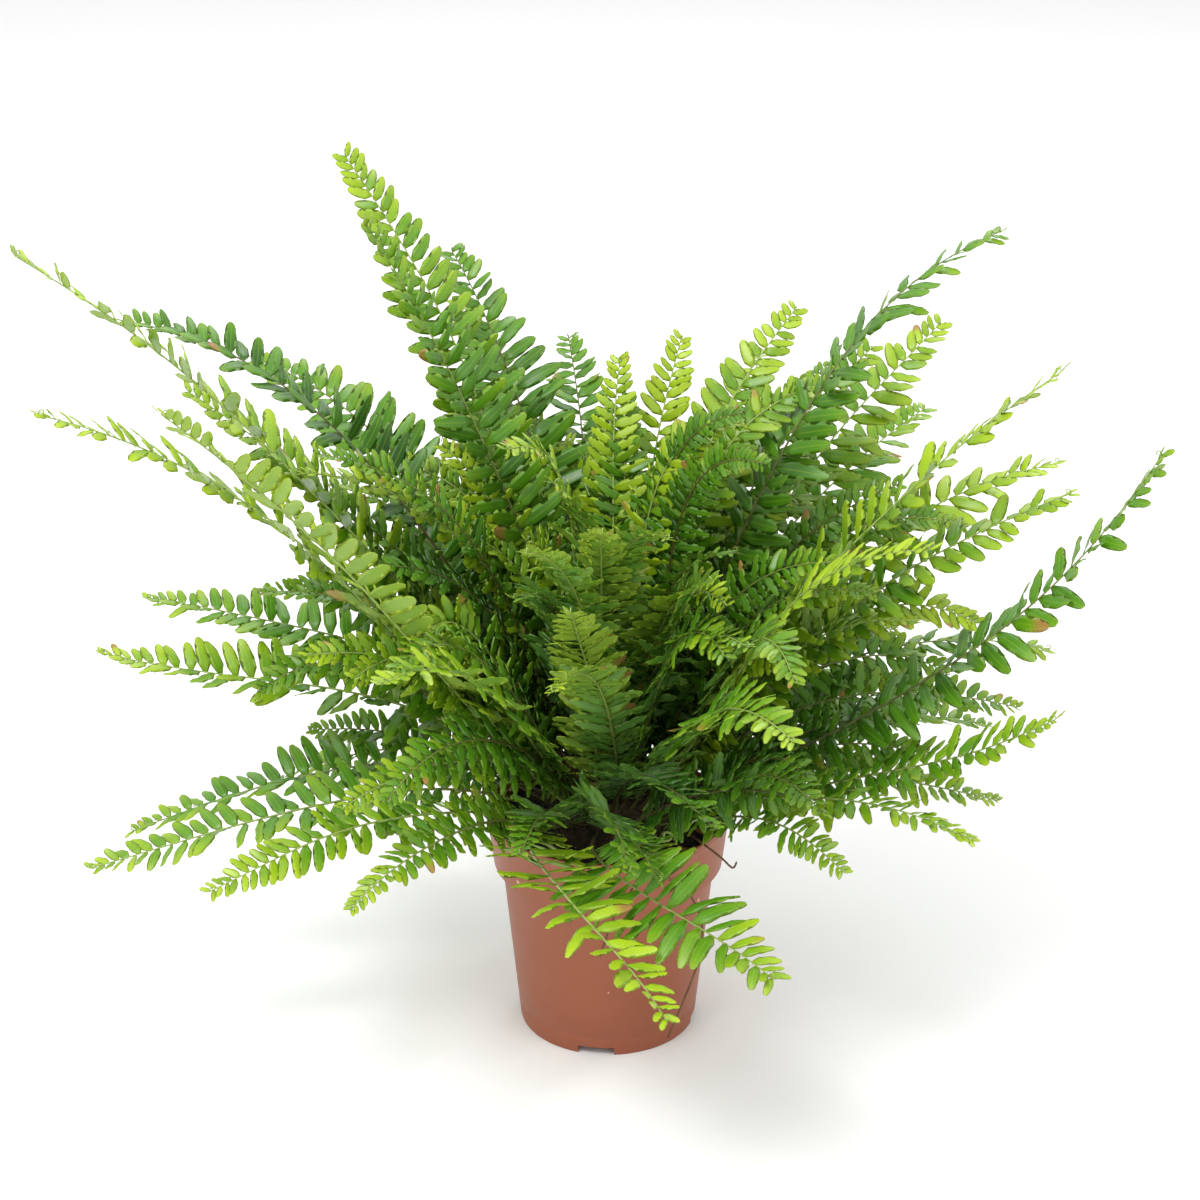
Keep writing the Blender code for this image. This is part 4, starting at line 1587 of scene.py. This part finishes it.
class ScatterTree(GeometryTree):
    """Bits strewn over the upper faces of a surface, each turned and sized at random."""

    def __init__(self) -> None:
        """Builds the tree."""
        number = "NodeSocketFloat"
        super().__init__(
            "scatter",
            [("Density", number), ("Size", number), ("Tilt", number), ("Seed", "NodeSocketInt")]
            + [("Bits", "NodeSocketCollection"), ("Material", "NodeSocketMaterial")],
        )
        base = self.named("Geometry")
        upper = self.math("GREATER_THAN", self.attribute("top"), 0.5)
        values = {"Mesh": base, "Selection": upper, "Density": self.named("Density")}
        values |= {"Seed": self.named("Seed")}
        row = self.add("GeometryNodeDistributePointsOnFaces", values)
        points = self.store(row.outputs["Points"], "luck", self.random(0.0, 1.0, 1))
        tilt = self.math("MULTIPLY", self.random(-1.0, 1.0, 2), self.named("Tilt"))
        spin = self.add("ShaderNodeCombineXYZ", {0: tilt, 2: self.random(0.0, 6.28, 3)}).outputs[0]
        local = self.add("FunctionNodeEulerToRotation", {0: spin}).outputs[0]
        values = {"Rotation": row.outputs["Rotation"], "Rotate By": local}
        turn = self.add("FunctionNodeRotateRotation", values, rotation_space="LOCAL").outputs[0]
        size = self.math("MULTIPLY", self.named("Size"), self.random(0.45, 1.5, 4))
        scale = self.vector("SCALE", (1.0, 1.0, 1.0), size)
        source = {"Collection": self.named("Bits"), "Separate Children": True, "Reset Children": True}
        shapes = self.add("GeometryNodeCollectionInfo", source).outputs[0]
        pick = self.math("FLOOR", self.random(0.0, 2.999, 5))
        values = {"Points": points, "Instance": shapes, "Pick Instance": True, "Instance Index": pick}
        values |= {"Rotation": turn, "Scale": scale}
        bits = self.add("GeometryNodeInstanceOnPoints", values).outputs[0]
        joined = self.add("GeometryNodeJoinGeometry")
        for part in (base, bits):
            self.tree.links.new(part, joined.inputs[0])
        self.finish(joined.outputs[0])


def bit_templates(name: str, shapes: list[tuple[float, float, float]], seed: int) -> bpy.types.Collection:
    """Three rough bits to strew.

    Args:
        name: the collection's name.
        shapes: length, width and thickness of each bit, as shares of its size.
        seed: seed of their roughness.

    Returns:
        The collection.
    """
    luck = random.Random(seed)
    holder = bpy.data.collections.new(name)
    for number, size in enumerate(shapes):
        bm = bmesh.new()
        bmesh.ops.create_icosphere(bm, subdivisions=1, radius=0.5)
        for vertex in bm.verts:
            vertex.co *= luck.uniform(0.7, 1.15)
            vertex.co.x, vertex.co.y = vertex.co.x * size[0], vertex.co.y * size[1]
            vertex.co.z = vertex.co.z * size[2] + 0.5 * size[0] * (vertex.co.x / size[0]) ** 2
        mesh = bpy.data.meshes.new(f"{name}_{number}")
        bm.to_mesh(mesh)
        bm.free()
        holder.objects.link(bpy.data.objects.new(f"{name}_{number}", mesh))
    return holder


@dataclass(frozen=True)
class Bed:
    """A round bed with a rough top and a flat underside: the potting mix, or the crown on it."""

    name: str
    node: str
    slot: str
    material: bpy.types.Material
    bits: bpy.types.Collection
    radius: float
    sides: Outline
    profile: Callable[[float], float]
    roughness: float
    density: float
    size: float
    tilt: float
    rings: int = 30
    segments: int = 96

    def top(self, x: float, y: float) -> float:
        """Height of the rough top."""
        rough = noise.fractal(Vector((x, y, 0.0)) * 260.0, 0.9, 2.1, 4)
        return self.profile(math.hypot(x, y)) + self.roughness * rough

    def base(self) -> bpy.types.Mesh:
        """The closed bed, its upper faces marked.

        Returns:
            The bed's mesh.
        """
        bm = bmesh.new()
        mark = bm.verts.layers.float.new("top")
        centre = bm.verts.new((0.0, 0.0, self.top(0.0, 0.0)))
        centre[mark] = 1.0
        rings = []
        for i in range(1, self.rings + 1):
            radius = self.radius * i / self.rings
            ring = []
            for k in range(self.segments):
                angle = 2.0 * math.pi * k / self.segments
                x, y = radius * math.cos(angle), radius * math.sin(angle)
                vertex = bm.verts.new((x, y, self.top(x, y)))
                vertex[mark] = 1.0
                ring.append(vertex)
            rings.append(ring)
        for radius, z in self.sides:
            share = radius / self.radius
            rings.append([bm.verts.new((v.co.x * share, v.co.y * share, z)) for v in rings[self.rings - 1]])
        for k in range(self.segments):
            j = (k + 1) % self.segments
            bm.faces.new((centre, rings[0][k], rings[0][j]))
            for first, second in zip(rings, rings[1:]):
                bm.faces.new((first[k], second[k], second[j], first[j]))
        bm.faces.new(list(reversed(rings[-1])))
        bmesh.ops.recalc_face_normals(bm, faces=bm.faces)
        mesh = bpy.data.meshes.new(self.name + "_base")
        bm.to_mesh(mesh)
        bm.free()
        return mesh

    def build(self, tree: ScatterTree, seed: int) -> None:
        """Strews the bits and places the bed.

        Args:
            tree: the scatter tree.
            seed: seed of the strewing.
        """
        values = {"Density": self.density, "Size": self.size, "Tilt": self.tilt, "Seed": seed}
        values |= {"Bits": self.bits, "Material": self.material}
        piece = tree.run(self.name, self.base(), values)
        place(piece, self.slot, self.node)


# --- stems on the soil and the rim -----------------------------------------------------------------------


@dataclass(frozen=True)
class StemForm:
    """Thickness, hairs and age of one kind of stem."""

    radius: float
    taper: float
    hair_length: float
    hairs_per_metre: float
    youth: float


@dataclass(frozen=True)
class Stems:
    """The wiry runners over the rim and the young frond still coiled."""

    tree: StemTree
    hairs: bpy.types.Collection
    runner_material: bpy.types.Material
    young_material: bpy.types.Material
    runner: StemForm = StemForm(0.0007, 0.35, 0.0010, 3500.0, 0.2)
    young: StemForm = StemForm(0.0010, 0.40, 0.0016, 9000.0, 0.9)
    span_steps: int = 8
    coil_radius: float = 0.0028
    coil_closing: float = 0.62
    coil_turns: float = 1.1
    coil_steps: int = 30

    def stem(
        self, name: str, points: list[Vector], form: StemForm, material: bpy.types.Material
    ) -> bpy.types.Object:
        """Builds one hairy stem.

        Args:
            name: the piece's name.
            points: its route.
            form: what kind of stem it is.
            material: its material.

        Returns:
            The piece.
        """
        guide = Guide(name + "_guide_mesh")
        axes = (Vector((1.0, 0.0, 0.0)), Vector((0.0, 0.0, 1.0)))
        guide.chain(points, [axes] * len(points), form.youth, [Guide.BARE] * len(points))
        length = sum((b - a).length for a, b in zip(points, points[1:]))
        values = {
            "Stem Radius": form.radius,
            "Taper": form.taper,
            "Hair Count": round(length * form.hairs_per_metre),
            "Hair Length": form.hair_length,
            "Hairs": self.hairs,
            "Seed": len(name),
            "Material": material,
        }
        return self.tree.run(name, guide.mesh(), values)

    def runners(self) -> None:
        """Builds and places the runners."""
        for node, route in RUNNERS.items():
            points = smooth_route(route, self.span_steps)
            piece = self.stem(node + "_stem", points, self.runner, self.runner_material)
            place(piece, "runner_stem", node)

    def fiddlehead(self) -> None:
        """Builds and places the coiled young frond."""
        points = smooth_route(FIDDLEHEAD_STEM, self.span_steps)
        ahead = (points[-1] - points[-2]).normalized()
        inward = Vector((0.0, 0.0, 1.0))
        inward = (inward - ahead * inward.dot(ahead)).normalized()
        centre = points[-1] + inward * self.coil_radius
        for i in range(1, self.coil_steps + 1):
            share = i / self.coil_steps
            angle = 2.0 * math.pi * self.coil_turns * share
            reach = self.coil_radius * (1.0 - self.coil_closing * share)
            points.append(centre + (ahead * math.sin(angle) - inward * math.cos(angle)) * reach)
        piece = self.stem("fiddlehead_stem", points, self.young, self.young_material)
        place(piece, "young_stem", "fiddlehead")


@dataclass(frozen=True)
class DeadLeaflets:
    """Dry leaflets that have dropped on the soil."""

    material: bpy.types.Material
    form: LeafletForm = LeafletForm(droop=0.10, wave=0.05, twist=0.35, arch=-0.12, thickness=0.03)
    length: float = 0.0145
    lift: float = 0.0004

    def build(self) -> None:
        """Builds each dry leaflet over its CAD node."""
        for number, (node, (x, y, turn)) in enumerate(DEAD_LEAFLETS.items()):
            piece = self.form.build(node + "_dry", Side.LEFT, 2.0 * number)
            bpy.context.collection.objects.link(piece)
            low, _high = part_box(node)
            spin = Matrix.Rotation(math.radians(turn), 4, "Z") @ Matrix.Translation((-0.5, 0.0, 0.0))
            piece.data.transform(Matrix.Diagonal((self.length, self.length, self.length, 1.0)) @ spin)
            drop = min(vertex.co.z for vertex in piece.data.vertices)
            piece.data.transform(Matrix.Translation((x, y, low[2] + self.lift - drop)))
            piece.data.materials.append(self.material)
            for polygon in piece.data.polygons:
                polygon.use_smooth = True
            place(piece, "dead_leaf", node)


# --- studio ----------------------------------------------------------------------------------------------


@dataclass(frozen=True)
class Studio:
    """Pale floor, soft lights and the camera."""

    floor_tone: float = 0.93
    world_strength: float = 0.92

    def floor(self) -> None:
        """Lays the floor."""
        bm = bmesh.new()
        bmesh.ops.create_circle(bm, cap_ends=True, segments=96, radius=7.0)
        material = bpy.data.materials.new("floor_pale")
        material.use_nodes = True
        shader = material.node_tree.nodes["Principled BSDF"]
        shader.inputs["Base Color"].default_value = (self.floor_tone, self.floor_tone, self.floor_tone, 1.0)
        shader.inputs["Roughness"].default_value = 0.9
        mesh = bpy.data.meshes.new("studio_floor")
        bm.to_mesh(mesh)
        bm.free()
        mesh.materials.append(material)
        plane = bpy.data.objects.new("studio_floor", mesh)
        bpy.context.collection.objects.link(plane)

    def light(self, name: str, spot: tuple[float, float, float], size: float, power: float) -> None:
        """Hangs one square lamp that faces the plant.

        Args:
            name: the lamp's name.
            spot: where it hangs.
            size: side of its square.
            power: its power in watts.
        """
        data = bpy.data.lights.new(name, "AREA")
        data.shape, data.size, data.energy = "SQUARE", size, power
        lamp = bpy.data.objects.new(name, data)
        lamp.location = spot
        aim = Vector((0.0, 0.0, 0.2)) - Vector(spot)
        lamp.rotation_euler = aim.to_track_quat("-Z", "Y").to_euler()
        bpy.context.collection.objects.link(lamp)

    def build(self) -> None:
        """Builds the studio."""
        self.floor()
        self.light("key", (-0.9, -1.1, 2.2), 0.8, 40.0)
        self.light("fill", (1.6, -1.2, 1.3), 1.6, 8.0)
        self.light("back", (0.4, 1.6, 1.9), 1.2, 16.0)
        world = bpy.data.worlds.new("studio")
        world.use_nodes = True
        world.node_tree.nodes["Background"].inputs["Color"].default_value = (1.0, 1.0, 1.0, 1.0)
        world.node_tree.nodes["Background"].inputs["Strength"].default_value = self.world_strength
        bpy.context.scene.world = world
        bpy.context.scene.view_settings.view_transform = "Standard"
        data = bpy.data.cameras.new("front")
        data.lens, data.sensor_width = 75.4, 36.0
        data.dof.use_dof = False
        camera = bpy.data.objects.new("front", data)
        camera.location = (-0.004, -1.1, 0.685)
        camera.rotation_euler = (math.radians(67.3), 0.0, 0.0)
        bpy.context.collection.objects.link(camera)
        bpy.context.scene.camera = camera


def build_beds(speckle: bpy.types.NodeTree, crown: CrownForm) -> None:
    """Builds the potting mix and the crown on it.

    Args:
        speckle: the speckle shader group.
        crown: the crown's dome.
    """
    scatter = ScatterTree()
    chips = bit_templates("chip", [(1.0, 0.55, 0.30), (2.2, 0.22, 0.16), (0.8, 0.7, 0.5)], 3)
    scales = bit_templates("scale", [(2.4, 0.22, 0.12), (3.0, 0.16, 0.12), (1.6, 0.5, 0.15)], 4)
    low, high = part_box("potting_soil")
    soil = Bed(
        name="soil_bed",
        node="potting_soil",
        slot="potting_mix",
        material=PEAT.build(speckle),
        bits=chips,
        radius=high[0] - 0.0002,
        sides=[(0.0546, 0.0886), (0.0508, 0.0876), (0.0428, low[2])],
        profile=lambda radius: 0.1064 - 0.0012 * (radius / 0.055) ** 2,
        roughness=0.0011,
        density=130000.0,
        size=0.0030,
        tilt=0.6,
    )
    soil.build(scatter, 11)
    dome = Bed(
        name="crown_dome",
        node="crown",
        slot="crown_wood",
        material=BARK.build(speckle),
        bits=scales,
        radius=crown.radius,
        sides=[(crown.radius, crown.base)],
        profile=crown.height,
        roughness=0.0006,
        density=260000.0,
        size=0.0030,
        tilt=0.9,
    )
    dome.build(scatter, 12)


def main() -> None:
    """Builds the finishes, then every piece from the pot up, then the studio."""
    logging.basicConfig(level=logging.INFO, format="%(name)s %(message)s")
    speckle = speckle_group()
    crown = CrownForm.measured()
    leaf = LeafFinish().build()
    Pot(PotFinish().build(speckle)).build()
    build_beds(speckle, crown)
    leaflets = LeafletSet()
    hairs = hair_template()
    Foliage(crown, leaflets, hairs, leaf).build()
    stems = Stems(StemTree(), hairs, WIRE.build(speckle), YOUNG_STALK.build(speckle))
    stems.runners()
    stems.fiddlehead()
    DeadLeaflets(DRY_LEAF.build(speckle)).build()
    leaflets.clear()
    Studio().build()


if __name__ == "__main__":
    main()
